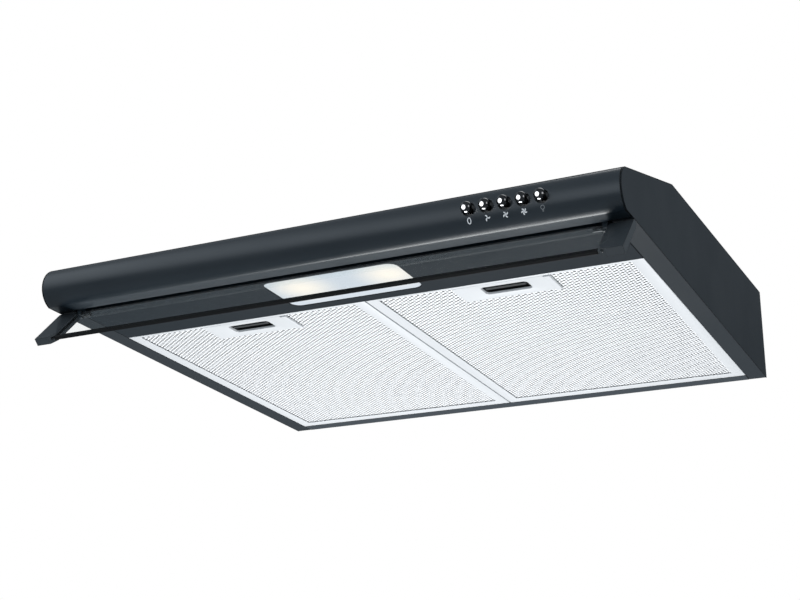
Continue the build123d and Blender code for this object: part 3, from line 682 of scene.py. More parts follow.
@dataclass(frozen=True)
class Finish:
    """A solid finish: paint, plastic, ceramic or metal, with grain, tone and an edge tone.

    The base colour drifts towards the second tone by slow mottle and towards the edge tone
    along edges; where the edge tone is darker than the colour, as on the black paints, that band
    is painted edge shade. Roughness follows the mottle; the bump is the fine grain or rolled lines.
    shade names a mesh attribute that turns the colour to the shadow tone inside holes, and
    edge_dull is how much rougher the surface is along its edges.
    """

    name: str
    colour: Colour
    tone: Colour
    edge: Colour
    roughness: float = 0.4
    drift: float = 0.06
    metallic: float = 0.0
    specular: float = 0.5
    grain: float = 1400.0
    depth: float = 0.01 * MM
    edge_radius: float = 0.6 * MM
    edge_share: float = 0.5
    rolled: bool = False
    shade: str = ""
    shadow: Colour = (0.0, 0.0, 0.0)
    edge_dull: float = 0.0

    def build(self) -> bpy.types.Material:
        """Make the material.

        Returns:
            A node material that holds all of the fields.
        """
        material, sheet = open_material(self.name)
        shader = sheet.node("BsdfPrincipled")
        leave = sheet.node("OutputMaterial")
        sheet.feed(leave.inputs["Surface"], shader.outputs[0])
        if self.rolled:
            look = sheet.group(EFFECTS.rolled, Scale=self.grain)
            relief, mottle = look.outputs["Lines"], look.outputs["Blotch"]
        else:
            look = sheet.group(EFFECTS.grain, Scale=self.grain, Slow_Scale=9.0)
            relief, mottle = look.outputs["Grain"], look.outputs["Mottle"]
        # Edge band: painted shade along the edges where the edge tone is darker than the colour, as on
        # the black paints; elsewhere a plain edge tone.
        edge_band = sheet.group(EFFECTS.edges, Radius=self.edge_radius, Strength=self.edge_share)
        toned = sheet.mix(mottle, self.colour, self.tone)
        tinted = sheet.mix(edge_band.outputs["Edge"], toned, self.edge)
        if self.shade:
            deep = sheet.node("Attribute", attribute_name=self.shade).outputs["Fac"]
            tinted = sheet.mix(deep, tinted, self.shadow)
        sheet.feed(shader.inputs["Base Color"], tinted)
        spread = sheet.math("MULTIPLY_ADD", mottle, self.drift, self.roughness - self.drift / 2)
        speck = sheet.math("MULTIPLY_ADD", relief, self.drift, -self.drift / 2)
        dull = sheet.math("MULTIPLY_ADD", edge_band.outputs["Edge"], self.edge_dull, spread)
        sheet.feed(shader.inputs["Roughness"], sheet.math("ADD", dull, speck, clamp=True))
        shader.inputs["Metallic"].default_value = self.metallic
        shader.inputs["Specular IOR Level"].default_value = self.specular
        sheet.feed(shader.inputs["Normal"], sheet.bump(relief, self.depth))
        return material


@dataclass(frozen=True)
class ClearFinish:
    """Clear acrylic: light passes straight through, and the surface only adds its gloss.

    haze is the share of a faint veil of the veil colour, and smudges of 1 / smudge_scale
    metres make the gloss up to three times rougher.
    """

    name: str
    tint: Colour = (0.975, 0.985, 0.985)
    roughness: float = 0.06
    ior: float = 1.45
    haze: float = 0.02
    gloss: float = 1.0
    veil: Colour = (0.9, 0.93, 0.95)
    smudge_scale: float = 22.0

    def build(self) -> bpy.types.Material:
        """Make the material.

        Returns:
            A blend of a see-through, a glossy and a faintly hazy shader, lightly smudged.
        """
        material, sheet = open_material(self.name)
        clear, gloss = sheet.node("BsdfTransparent"), sheet.node("BsdfGlossy")
        clear.inputs["Color"].default_value = (*self.tint, 1.0)
        smudge = sheet.ramp(sheet.noise(self.smudge_scale, 3.0), 0.35, 0.75,
                            self.roughness, 3 * self.roughness)
        sheet.feed(gloss.inputs["Roughness"], smudge)
        fresnel = sheet.node("Fresnel")
        fresnel.inputs["IOR"].default_value = self.ior
        dull, veiled = sheet.node("BsdfDiffuse"), sheet.node("MixShader")
        dull.inputs["Color"].default_value = (*self.veil, 1.0)
        veiled.inputs[0].default_value = self.haze
        sheet.feed(veiled.inputs[1], clear.outputs[0])
        sheet.feed(veiled.inputs[2], dull.outputs[0])
        both, leave = sheet.node("MixShader"), sheet.node("OutputMaterial")
        outside = sheet.math("SUBTRACT", 1.0, sheet.node("NewGeometry").outputs["Backfacing"])
        shine = sheet.math("MULTIPLY", fresnel.outputs[0], self.gloss)
        sheet.feed(both.inputs[0], sheet.math("MULTIPLY", shine, outside))
        sheet.feed(both.inputs[1], veiled.outputs[0])
        sheet.feed(both.inputs[2], gloss.outputs[0])
        sheet.feed(leave.inputs["Surface"], both.outputs[0])
        return material


@dataclass(frozen=True)
class LitLensFinish:
    """Frosted lamp cover with the two lamps glowing through it.

    The glow is painted light emitted by the cover itself, as the bulbs behind it give none: a
    warm spot around each lamp that fades with distance, on a cool glow over the whole cover. The
    plastic itself ripples between two tones and between two roughnesses.
    """

    name: str
    ground: Colour = (0.27, 0.29, 0.31)
    low_ground: Colour = (0.26, 0.29, 0.32)
    cool_glow: Colour = (0.40, 0.44, 0.49)
    warm: Colour = (1.0, 0.85, 0.64)
    centres: tuple[tuple[float, ...], ...] = ()
    reach: float = 42 * MM
    strength: float = 0.70
    roughness: float = 0.42
    rougher: float = 0.55
    depth: float = 0.03 * MM

    def build(self) -> bpy.types.Material:
        """Make the material.

        Returns:
            A frosted plastic whose emission fades away from the lamps.
        """
        material, sheet = open_material(self.name)
        shader, leave = sheet.node("BsdfPrincipled"), sheet.node("OutputMaterial")
        sheet.feed(leave.inputs["Surface"], shader.outputs[0])
        where = sheet.node("TexCoord").outputs["Object"]
        glow: Socket | float = 0.0
        for centre in self.centres:
            away = sheet.node("VectorMath", operation="DISTANCE")
            sheet.feed(away.inputs[0], where)
            away.inputs[1].default_value = centre
            spot = sheet.ramp(away.outputs["Value"], 0.0, self.reach, 1.0, 0.0)
            glow = sheet.math("ADD", glow, spot, clamp=True)
        stipple = sheet.noise(900.0, 2.0)
        ripple = sheet.ramp(sheet.noise(60.0, 2.0), 0.3, 0.7, 0.94, 1.0)
        sheet.feed(shader.inputs["Base Color"], sheet.mix(ripple, self.low_ground, self.ground))
        # Painted glow: warm near the lamps, cool over the rest of the cover.
        sheet.feed(shader.inputs["Emission Color"], sheet.mix(glow, self.cool_glow, self.warm))
        shader.inputs["Emission Strength"].default_value = self.strength
        sheet.feed(shader.inputs["Roughness"],
                   sheet.ramp(stipple, 0.3, 0.7, self.roughness, self.rougher))
        sheet.feed(shader.inputs["Normal"], sheet.bump(stipple, self.depth))
        return material


class Finishes:
    """Every finish on the hood, built once."""

    def __init__(self, lamp_centres: tuple[tuple[float, ...], ...]) -> None:
        """Build the materials.

        Args:
            lamp_centres: Where the lamps glow through their cover.
        """
        self.paint = Finish("black_paint", (0.0085, 0.0148, 0.0212), (0.0098, 0.0164, 0.0230),
                            (0.0005, 0.0008, 0.001), roughness=0.32, edge_share=1.0,
                            edge_radius=1.4 * MM, edge_dull=0.5).build()
        # Side panels: a darker, less glossy copy of the black paint, painted shade that makes the cheeks
        # render darker.
        self.cheek = Finish("black_paint_shaded_cheek", (0.0064, 0.0108, 0.0150), (0.0076, 0.0122, 0.0166),
                            (0.0003, 0.0005, 0.0007), roughness=0.4, specular=0.2, edge_share=1.0,
                            edge_radius=1.8 * MM, edge_dull=0.6).build()
        # Lamp panel: a darker, less glossy copy of the black paint, painted shade on the lamp panel.
        self.panel = Finish("black_paint_shaded_panel", (0.0058, 0.0102, 0.0145), (0.0068, 0.0115, 0.0160),
                            (0.0005, 0.0008, 0.001), roughness=0.38, specular=0.1, edge_share=1.0,
                            edge_radius=1.4 * MM, edge_dull=0.5).build()
        # Visor arms: several times lighter than the black paint they match, painted light that makes up
        # for the shade the fascia casts on them.
        self.arm = Finish("arm_plastic_lightened", (0.031, 0.038, 0.0440), (0.034, 0.041, 0.0470),
                          (0.003, 0.0035, 0.004), roughness=0.5, specular=0.25, grain=2200.0,
                          depth=0.006 * MM, edge_radius=1.0 * MM, edge_share=0.8).build()
        self.dark_steel = Finish("dark_steel", (0.05, 0.052, 0.055), (0.04, 0.042, 0.045),
                                 (0.09, 0.09, 0.09), roughness=0.4, metallic=0.8,
                                 grain=2600.0, depth=0.004 * MM).build()
        self.plastic = Finish("black_plastic", (0.022, 0.024, 0.026), (0.027, 0.029, 0.031),
                              (0.008, 0.008, 0.009), roughness=0.36, grain=2200.0,
                              depth=0.006 * MM).build()
        self.grip = Finish("latch_plastic", (0.007, 0.0075, 0.008), (0.010, 0.0105, 0.011),
                           (0.016, 0.017, 0.018), roughness=0.3, grain=1800.0,
                           depth=0.012 * MM, edge_radius=0.35 * MM).build()
        self.chrome = Finish("chrome_button", (0.060, 0.061, 0.063), (0.050, 0.051, 0.053),
                             (0.07, 0.07, 0.07), roughness=0.045, drift=0.03, metallic=1.0,
                             depth=0.001 * MM, edge_share=0.2).build()
        self.steel = Finish("steel_pin", (0.56, 0.56, 0.55), (0.46, 0.46, 0.45),
                            (0.70, 0.70, 0.69), roughness=0.28, metallic=1.0, grain=2600.0,
                            depth=0.004 * MM).build()
        self.zinc = Finish("zinc_sheet", (0.55, 0.57, 0.59), (0.42, 0.44, 0.47),
                           (0.70, 0.72, 0.74), roughness=0.36, drift=0.16, metallic=0.9,
                           grain=120.0, depth=0.006 * MM, edge_share=0.3).build()
        self.aluminium = Finish("filter_aluminium", (0.64, 0.655, 0.67), (0.60, 0.615, 0.63),
                                (0.44, 0.455, 0.47), roughness=0.42, metallic=0.15, grain=300.0,
                                depth=0.006 * MM, edge_share=0.35, rolled=True).build()
        self.mesh = Finish("mesh_aluminium", (0.93, 0.94, 0.95), (0.87, 0.88, 0.895),
                           (0.97, 0.97, 0.98), roughness=0.36, metallic=0.12, grain=900.0,
                           depth=0.01 * MM, edge_share=0.1, edge_radius=0.2 * MM,
                           # The "inside" faces take the near-black shadow tone: painted shade in the
                           # mesh's holes.
                           shade="inside", shadow=(0.030, 0.031, 0.033)).build()
        self.core = Finish("mesh_pack", (0.10, 0.105, 0.11), (0.05, 0.053, 0.056),
                           (0.15, 0.15, 0.155), roughness=0.5, drift=0.2, metallic=0.6,
                           grain=700.0, depth=0.35 * MM).build()
        self.bulb = Finish("bulb_glass", (0.93, 0.90, 0.84), (0.88, 0.85, 0.78),
                           (0.97, 0.95, 0.90), roughness=0.22, grain=400.0,
                           depth=0.004 * MM).build()
        self.ceramic = Finish("lamp_ceramic", (0.78, 0.77, 0.73), (0.70, 0.69, 0.66),
                              (0.60, 0.59, 0.56), roughness=0.55, grain=900.0,
                              depth=0.02 * MM).build()
        self.switch = Finish("switch_plastic", (0.010, 0.011, 0.012), (0.014, 0.015, 0.016),
                             (0.02, 0.02, 0.022), roughness=0.42, grain=1500.0,
                             depth=0.01 * MM).build()
        self.motor = Finish("motor_steel", (0.36, 0.37, 0.38), (0.27, 0.28, 0.29),
                            (0.55, 0.55, 0.55), roughness=0.4, metallic=0.85, grain=500.0,
                            depth=0.008 * MM, rolled=True).build()
        self.rubber = Finish("bush_rubber", (0.018, 0.018, 0.019), (0.028, 0.028, 0.029),
                             (0.04, 0.04, 0.04), roughness=0.75, grain=1600.0,
                             depth=0.03 * MM).build()
        self.can = Finish("capacitor_case", (0.70, 0.70, 0.68), (0.62, 0.62, 0.60),
                          (0.8, 0.8, 0.78), roughness=0.3, grain=800.0,
                          depth=0.006 * MM).build()
        self.box = Finish("terminal_plastic", (0.62, 0.62, 0.60), (0.54, 0.54, 0.52),
                          (0.70, 0.70, 0.68), roughness=0.42, grain=1500.0,
                          depth=0.01 * MM).build()
        self.ink = Finish("icon_ink", (0.84, 0.85, 0.86), (0.78, 0.79, 0.80),
                          (0.84, 0.85, 0.86), roughness=0.5, grain=3000.0,
                          depth=0.002 * MM, edge_share=0.1).build()
        self.dim_ink = Finish("icon_ink_dim", (0.25, 0.26, 0.27), (0.21, 0.22, 0.23),
                              (0.25, 0.26, 0.27), roughness=0.5, grain=3000.0,
                              depth=0.002 * MM, edge_share=0.1).build()
        self.clear = ClearFinish("clear_visor", roughness=0.1, haze=0.006, gloss=0.35).build()
        self.bead = ClearFinish("clear_bead", roughness=0.25, haze=0.015, gloss=0.1).build()
        self.trim = Finish("visor_trim_black", (0.0035, 0.004, 0.0045), (0.005, 0.0055, 0.006),
                           (0.003, 0.003, 0.003), roughness=0.55, specular=0.12, grain=2200.0,
                           depth=0.004 * MM, edge_share=0.3).build()
        self.lens = LitLensFinish("frosted_lens", centres=lamp_centres).build()


# ---------------------------------------------------------------- shared dressing
def add_bevel(piece: bpy.types.Object, width: float, angle: float) -> None:
    """Break a piece's sharp edges, each by two faces.

    Args:
        piece: The piece.
        width: Width of the broken edge.
        angle: Least angle between faces, in degrees, that counts as an edge.
    """
    broken = piece.modifiers.new("broken_edges", "BEVEL")
    broken.width = width
    broken.segments = 2
    broken.limit_method = "ANGLE"
    broken.angle_limit = math.radians(angle)


def dress_node(name: str, material: bpy.types.Material, bevel: float = 0.25 * MM) -> None:
    """Give a kept CAD node its finish and softly broken edges.

    Args:
        name: The node.
        material: Its finish.
        bevel: Width of the broken edge, or 0 for none.
    """
    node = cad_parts[name]
    node.data.materials.clear()
    node.data.materials.append(material)
    weld = node.modifiers.new("weld", "WELD")
    weld.merge_threshold = WELD
    if bevel:
        add_bevel(node, bevel, NODE_EDGE)
    LOG.info("kept node %s with finish %s", name, material.name)


def dress_nodes(names: Sequence[str], material: bpy.types.Material, bevel: float = 0.25 * MM) -> None:
    """Dress several kept nodes alike.

    Args:
        names: The nodes.
        material: Their finish.
        bevel: Width of the broken edges, or 0 for none.
    """
    for name in names:
        dress_node(name, material, bevel)


def finish_piece(piece: bpy.types.Object, material: bpy.types.Material, body: str,
                 replaces: Sequence[str] = ()) -> None:
    """Hand a new piece its finish, its body and the nodes that it stands for.

    Args:
        piece: The new piece.
        material: Its finish.
        body: The CAD body that it rides on.
        replaces: CAD nodes that it takes the place of.
    """
    piece.data.materials.clear()
    piece.data.materials.append(material)
    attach(piece, body)
    if replaces:
        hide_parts(*replaces)
    LOG.info("made piece %s on body %s", piece.name, body)


def add_wall(piece: bpy.types.Object, thickness: float) -> None:
    """Give a skin its wall, inwards from the faces that it shows, with crisp folds.

    Args:
        piece: The open skin.
        thickness: Thickness of its wall.
    """
    wall = piece.modifiers.new("wall", "SOLIDIFY")
    wall.thickness = thickness
    wall.offset = -1.0
    bpy.context.view_layer.update()
    shown = piece.evaluated_get(bpy.context.evaluated_depsgraph_get())
    shape = bpy.data.meshes.new_from_object(shown)
    piece.modifiers.clear()
    piece.data = shape
    shape.set_sharp_from_angle(angle=SHARP)


# ---------------------------------------------------------------- body shell
@dataclass
class Fascia:
    """Rounded front with five round holes, one sheet folded from lip to hem.

    The holes lie in square cells of the mesh, and flange_edge is where the side panels' own
    flanges start. crease is how far from the fold under the top its bend starts, and
    crease_run how far below the fold the plain front starts.
    """

    front_y: float = -348 * MM
    slope_y: float = -201 * MM
    slope_drop: float = 39 * MM
    nose_drop: float = 78 * MM
    reach: float = 12.2 * MM
    sheet: float = 1 * MM
    lip: float = 12 * MM
    flange: float = 16 * MM
    hem: float = 10 * MM
    hole_r: float = 6 * MM
    cell: float = 16.8 * MM
    across: int = 8
    flange_edge: float = 279.6 * MM
    crease: float = 0.9 * MM
    crease_run: float = 1.6 * MM
    low_crease_run: float = 0.7 * MM
    hem_r: float = 0.8 * MM
    roll: float = 0.5 * MM
    hole_depth: float = 1.6 * MM

    @property
    def top_z(self) -> float:
        """Height where the rounded front starts, under the sloping top."""
        return -self.slope_drop - self.sheet * math.sqrt(1 + self.slope_rate**2)

    @property
    def slope_rate(self) -> float:
        """Drop of the sloping top for each metre forward."""
        return self.slope_drop / (self.slope_y - self.front_y)

    def nose_y(self, z: Array, inset: float = 0.0) -> Array:
        """Front surface at a height: a circle through both folds and the foremost point.

        Args:
            z: Heights.
            inset: How far inside the surface.

        Returns:
            The y of the surface.
        """
        half = (self.nose_drop - self.slope_drop) / 2
        radius = (half**2 + self.reach**2) / (2 * self.reach)
        centre_y = self.front_y - self.reach + radius
        middle = -(self.slope_drop + self.nose_drop) / 2
        return centre_y - np.sqrt((radius - inset) ** 2 - (z - middle) ** 2)

    def skin(self, buttons: Sequence[float], button_z: float, half: float) -> Surface:
        """The whole outer skin, as grids of x and profile rows with round holes let in.

        Args:
            buttons: The x of each hole.
            button_z: Height of the holes.
            half: Half the fascia's length.

        Returns:
            The open skin.
        """
        skin = Surface()
        low, high = button_z - self.cell / 2, button_z + self.cell / 2
        band = np.linspace(low, high, self.across + 1)
        upper = self._upper_rows(high)
        lower = self._lower_rows(low)
        edges = [buttons[0] - self.cell / 2, buttons[-1] + self.cell / 2]
        inner = np.concatenate([np.linspace(x - self.cell / 2, x + self.cell / 2, self.across + 1)
                                for x in buttons])
        xs = np.unique(np.round(np.concatenate([
            np.linspace(-self.flange_edge, edges[0], 40), inner,
            np.linspace(edges[1], self.flange_edge, 12)]), 7))
        ends = [np.linspace(-half, -self.flange_edge, 3), np.linspace(self.flange_edge, half, 3)]
        for columns in (xs, *ends):
            skin.add_grid(self._carry(upper, columns))
            skin.add_grid(self._carry(lower, columns))
            outside = (columns <= edges[0] + SNAP, columns >= edges[1] - SNAP)
            for part in outside:
                if part.sum() > 1:
                    rows = np.stack([self.nose_y(band), band], axis=1)
                    skin.add_grid(self._carry(rows, columns[part]))
        skin.add_grid(self._carry(self._hem_rows(), xs))
        for x in buttons:
            self._hole(skin, x, button_z)
        return skin

    @staticmethod
    def _carry(profile: Array, columns: Array) -> Array:
        """Carry a profile of y and z along x.

        Args:
            profile: Rows of y and z.
            columns: The x of each column.

        Returns:
            Grid of points, rows by columns by three.
        """
        x = np.broadcast_to(columns[None, :], (len(profile), len(columns)))
        y = np.broadcast_to(profile[:, 0:1], x.shape)
        z = np.broadcast_to(profile[:, 1:2], x.shape)
        return np.stack([x, y, z], axis=-1)

    def _upper_rows(self, stop: float) -> Array:
        """Profile from the lip under the top, round the fold, down to the hole band.

        Args:
            stop: Height of the band's upper edge.

        Returns:
            Rows of y and z.
        """
        lip_z = self.top_z + self.lip * self.slope_rate
        start = self.top_z - self.crease_run
        bend = soften([(self.front_y + self.lip, lip_z), (self.front_y, self.top_z),
                       (float(self.nose_y(np.array(start))), start)], [0, self.crease, 0])
        arc = np.linspace(start, stop, 8)[1:]
        return np.vstack([bend, np.stack([self.nose_y(arc), arc], axis=1)])

    def _lower_rows(self, start: float) -> Array:
        """Profile from the hole band down to the flat lower flange.

        The bend between them is a quadratic curve with its middle point on the fold.

        Args:
            start: Height of the band's lower edge.

        Returns:
            Rows of y and z.
        """
        arc = np.linspace(start, -self.nose_drop + self.low_crease_run, 10)
        rows = np.stack([self.nose_y(arc), arc], axis=1)
        along = -SOFFIT.length + np.array([self.crease, 4 * MM, 10 * MM, self.flange - self.hem_r])
        flat = SOFFIT.place(np.zeros(4), along, np.zeros(4))[:, 1:]
        corner = np.array([self.front_y, -self.nose_drop])
        t = np.linspace(0, 1, 5)[1:-1, None]
        bend = (1 - t) ** 2 * rows[-1] + 2 * t * (1 - t) * corner + t**2 * flat[0]
        return np.vstack([rows, bend, flat])

    def _hem_rows(self) -> Array:
        """Profile of the hem: a quarter circle, then straight up into the hinge groove.

        Returns:
            Rows of y and z.
        """
        edge = -SOFFIT.length + self.flange
        t = np.linspace(0, math.pi / 2, 5)
        r = self.hem_r
        v = np.concatenate([edge - r + r * np.sin(t), [edge, edge]])
        w = np.concatenate([r - r * np.cos(t), [self.hem / 2, self.hem]])
        return SOFFIT.place(np.zeros_like(v), v, w)[:, 1:]

    def _hole(self, skin: Surface, x: float, z: float) -> None:
        """Let one round hole with a rolled lip into its square cell.

        Each ray runs from the hole's rolled rim to the matching point of the square.

        Args:
            skin: The skin to add to.
            x: Middle of the hole.
            z: Height of the hole.
        """
        side = np.linspace(-1, 1, self.across + 1)[:-1]
        ones = np.ones_like(side)
        square = np.vstack([np.stack([side, -ones], 1), np.stack([ones, side], 1),
                            np.stack([-side, ones], 1), np.stack([-ones, -side], 1)]) * self.cell / 2
        angle = np.arctan2(square[:, 1], square[:, 0])
        circle = np.stack([np.cos(angle), np.sin(angle)], axis=1)
        turn = np.linspace(0, math.pi / 2, 4)
        radii = np.concatenate([[self.hole_r], self.hole_r + self.roll * (1 - np.cos(turn))])
        depths = np.concatenate([[self.hole_depth], self.roll * (1 - np.sin(turn))])
        rings = [circle * r for r in radii]
        rim = rings[-1]
        for t in (0.3, 0.65, 1.0):
            rings.append(rim * (1 - t) + square * t)
        depths = np.concatenate([depths, [0, 0, 0]])
        flat = np.stack(rings)
        height = z + flat[..., 1]
        y = self.nose_y(height) + depths[:, None]
        skin.add_grid(np.stack([x + flat[..., 0], y, height], axis=-1), close_columns=True)

    def make(self, finishes: Finishes, buttons: Sequence[float], button_z: float) -> None:
        """Build and dress the fascia.

        Args:
            finishes: The hood's finishes.
            buttons: The x of each button.
            button_z: Height of the buttons.
        """
        _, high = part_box("front_fascia")
        skin = self.skin(buttons, button_z, high.x)
        piece = skin.build("fascia_sheet", solid=False, towards=(0, -1, -0.5))
        add_wall(piece, self.sheet)
        finish_piece(piece, finishes.paint, "hood_body", ["front_fascia"])


class BodyShell:
    """Top, back and side panels, with the screws that join them."""

    panels: tuple[str, ...] = ("top_panel", "back_panel")
    cheeks: tuple[str, ...] = ("side_panel_left", "side_panel_right")

    def dress(self, finishes: Finishes) -> None:
        """Finish the kept shell nodes.

        Args:
            finishes: The hood's finishes.
        """
        dress_nodes(self.panels, finishes.paint, 0.35 * MM)
        dress_nodes(self.cheeks, finishes.cheek, 0.35 * MM)
        dress_node("body_screws", finishes.zinc, 0.2 * MM)


# ---------------------------------------------------------------- lamp
@dataclass
class LampUnit:
    """Lamp panel, frosted cover, reflector tray, holders and lamps.

    The glow of the two lamps stands at glow_x, forward of the cover's middle by glow_forward.
    """

    length: float = 140 * MM
    width: float = 65 * MM
    corner: float = 9 * MM
    thickness: float = 2.5 * MM
    rim: float = 2 * MM
    sheet: float = 1 * MM
    crown: float = 0.5 * MM
    middle_share: float = 0.02
    glow_x: tuple[float, float] = (-38 * MM, 54 * MM)
    glow_forward: float = 9 * MM

    def glow_centres(self) -> tuple[tuple[float, ...], ...]:
        """Where the lamps glow through the cover.

        Returns:
            One point for each lamp.
        """
        v = np.array(self.middle_v() - self.glow_forward)
        return tuple(tuple(SOFFIT.place(np.array(x), v, np.array(0.0)).tolist()) for x in self.glow_x)

    def middle_v(self) -> float:
        """Middle of the cover along the underside, from the lens node's box.

        Returns:
            Its v.
        """
        return (node_middle("lamp_lens")[1] - SOFFIT.back_y) / math.cos(SOFFIT.tilt)

    def lens_surface(self) -> Surface:
        """Cover as nested round-cornered outlines: a crowned face, a soft edge and a rim.

        The face's height over the underside falls off towards its edge with the fourth power
        of the share of the way out, so that it is almost flat in the middle.

        Returns:
            The closed cover.
        """
        lens, v0 = Surface(), self.middle_v()
        size = np.array([self.length, self.width, self.corner])
        wide = size + self.rim * np.array([2, 2, 1])
        shapes = [(*(size * t), self.crown * t**4) for t in np.linspace(self.middle_share, 1, 9)]
        shapes += [(*size, self.sheet), (*wide, self.sheet), (*wide, self.thickness),
                   (*(size * self.middle_share), self.thickness)]
        rows = []
        for length, width, radius, w in shapes:
            rows.append(SOFFIT.outline(rounded_rectangle(length, width, radius, 10), w, v=v0))
        lens.add_bar(np.stack(rows))
        return lens

    def make(self, finishes: Finishes) -> None:
        """Build the cover and dress the rest.

        Args:
            finishes: The hood's finishes.
        """
        piece = self.lens_surface().build("lens_cover")
        add_bevel(piece, 0.2 * MM, PIECE_EDGE)
        finish_piece(piece, finishes.lens, "hood_body", ["lamp_lens"])
        dress_node("lamp_panel", finishes.panel, 0.3 * MM)
        dress_node("lamp_tray", finishes.zinc)
        dress_nodes(("lamp_socket_left", "lamp_socket_right"), finishes.ceramic, 0.4 * MM)
        dress_nodes(("lamp_bulb_left", "lamp_bulb_right"), finishes.bulb, 0)


# ---------------------------------------------------------------- visor
@dataclass
class Visor:
    """Clear swing-out visor with its arms, hinge bead, trim and hinge pieces."""

    bead_r: float = 3.5 * MM
    bead_soft: float = 0.8 * MM
    around: int = 28

    def bead_surface(self) -> Surface:
        """Clear hinge bead along the pane's top edge: a round bar with soft ends.

        Its radius follows a quarter circle into each end.

        Returns:
            The closed bead.
        """
        low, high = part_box("visor_rail")
        x = (high.x - low.x) / 2
        _, y, z = node_middle("visor_rail")
        turn = np.linspace(0, math.pi / 2, 5)
        soft = self.bead_soft
        radius = self.bead_r - soft + soft * np.sin(turn)
        reach = x - soft + soft * np.cos(turn)
        middle = np.linspace(-x + soft, x - soft, 25)[1:-1]
        profile = np.vstack([[(0, -x)], np.stack([radius, -reach], 1),
                             np.stack([np.full(len(middle), self.bead_r), middle], 1),
                             np.stack([radius, reach], 1)[::-1], [(0, x)]])
        bead = Surface()
        bead.add_grid(revolve(profile, (0, y, z), (1, 0, 0), self.around), close_columns=True)
        return bead

    def make(self, finishes: Finishes) -> None:
        """Build the bead and finish the kept visor nodes.

        Args:
            finishes: The hood's finishes.
        """
        bead = self.bead_surface().build("visor_bead")
        finish_piece(bead, finishes.bead, "visor", ["visor_rail"])
        dress_nodes(("visor_arm_left", "visor_arm_right"), finishes.arm, 0.7 * MM)
        dress_node("visor_trim", finishes.trim, 0.5 * MM)
        dress_node("visor_pane", finishes.clear, 0.2 * MM)
        dress_nodes(("visor_bracket_left", "visor_bracket_right"), finishes.paint, 0.3 * MM)
        dress_nodes(("visor_pin_left", "visor_pin_right"), finishes.dark_steel, 0.2 * MM)


# ---------------------------------------------------------------- controls
class Icon(Enum):
    """The generic sign under each button."""

    OFF = "icon_off"
    SPEED_1 = "icon_speed_1"
    SPEED_2 = "icon_speed_2"
    SPEED_3 = "icon_speed_3"
    LIGHT = "icon_light"


@dataclass
class Controls:
    """Push buttons with chrome ball heads, their signs, and the switch behind."""

    names: tuple[str, ...] = ("button_off", "button_speed_1", "button_speed_2", "button_speed_3",
                              "button_light")
    head_r: float = 5.2 * MM
    head_turn: float = math.radians(112)
    stem_r: float = 2.5 * MM
    stem_blunt: float = 0.3 * MM
    neck: float = 1.2 * MM
    icon_z: float = -67.7 * MM
    icon_height: float = 5.7 * MM
    ink: float = 0.06 * MM
    ink_sink: float = 0.02 * MM
    around: int = 40

    def places(self) -> list[float]:
        """The x of each button, from the nodes' boxes."""
        return [round(node_middle(name)[0], 6) for name in self.names]

    def height(self) -> float:
        """Height of the button row, from the first node's box."""
        return node_middle(self.names[0])[2]

    def button_surface(self, name: str) -> Surface:
        """One button as a turned profile: ball, soft shoulder, neck and stem.

        Args:
            name: The button's node.

        Returns:
            The closed button.
        """
        low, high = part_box(name)
        x, _, z = node_middle(name)
        ball_y = low.y + self.head_r
        turn = np.linspace(0, self.head_turn, 22)
        radius, depth = self.head_r * np.sin(turn), -self.head_r * np.cos(turn)
        back, blunt = high.y - ball_y, self.stem_blunt
        neck = [(self.stem_r + self.neck * 0.3, depth[-1] + self.neck),
                (self.stem_r, depth[-1] + 2 * self.neck), (self.stem_r, back - blunt),
                (self.stem_r - blunt, back), (0, back)]
        profile = np.vstack([np.stack([radius, depth], axis=1), neck])
        button = Surface()
        button.add_grid(revolve(profile, (x, ball_y, z), (0, 1, 0), self.around), close_columns=True)
        return button

    def make(self, finishes: Finishes, fascia: Fascia) -> None:
        """Build buttons and signs, and dress the switch.

        Args:
            finishes: The hood's finishes.
            fascia: The front that carries the signs.
        """
        for name in self.names:
            piece = self.button_surface(name).build(f"{name}_head")
            finish_piece(piece, finishes.chrome, name, [name])
        for icon, x in zip(Icon, self.places()):
            self._print(icon, x, finishes, fascia)
        dress_node("switch_block", finishes.switch, 0.5 * MM)
        dress_node("switch_bracket", finishes.dark_steel, 0.3 * MM)

    def _print(self, icon: Icon, x: float, finishes: Finishes, fascia: Fascia) -> None:
        """Lay one sign on the fascia as a thin layer of ink.

        Args:
            icon: Which sign.
            x: Middle of the sign.
            finishes: The hood's finishes.
            fascia: The front that carries it.
        """
        sign = Surface()
        for strip in icon_strips(icon, self.icon_height / 2):
            z = self.icon_z + strip[..., 1]
            outer = np.stack([x + strip[..., 0], fascia.nose_y(z) - self.ink, z], axis=-1)
            inner = np.stack([x + strip[..., 0], fascia.nose_y(z) + self.ink_sink, z], axis=-1)
            closed = np.allclose(strip[:, 0], strip[:, -1])
            ring = np.stack([outer[0], outer[1], inner[1], inner[0]])
            sign.add_grid(ring, close_rows=True)
            if not closed:
                for k in (0, -1):
                    sign.add(ring[:, k], quads=np.array([[0, 1, 2, 3] if k else [3, 2, 1, 0]]))
        piece = sign.build(icon.value)
        material = finishes.dim_ink if icon is Icon.LIGHT else finishes.ink
        finish_piece(piece, material, "hood_body")


def stroke(points: Array, width: "float | Array") -> Array:
    """Widen a line into a strip: two edges, half a width to each side along its normal.

    Args:
        points: Points along the line.
        width: Width, or one for each point.

    Returns:
        Two by points by two.
    """
    along = np.gradient(points, axis=0)
    if np.allclose(points[0], points[-1]):
        along[0] = along[-1] = points[1] - points[-2]
    along /= np.linalg.norm(along, axis=1, keepdims=True)
    normal = np.stack([-along[:, 1], along[:, 0]], axis=1)
    half = np.broadcast_to(np.asarray(width, float), (len(points),))[:, None] / 2
    return np.stack([points + normal * half, points - normal * half])


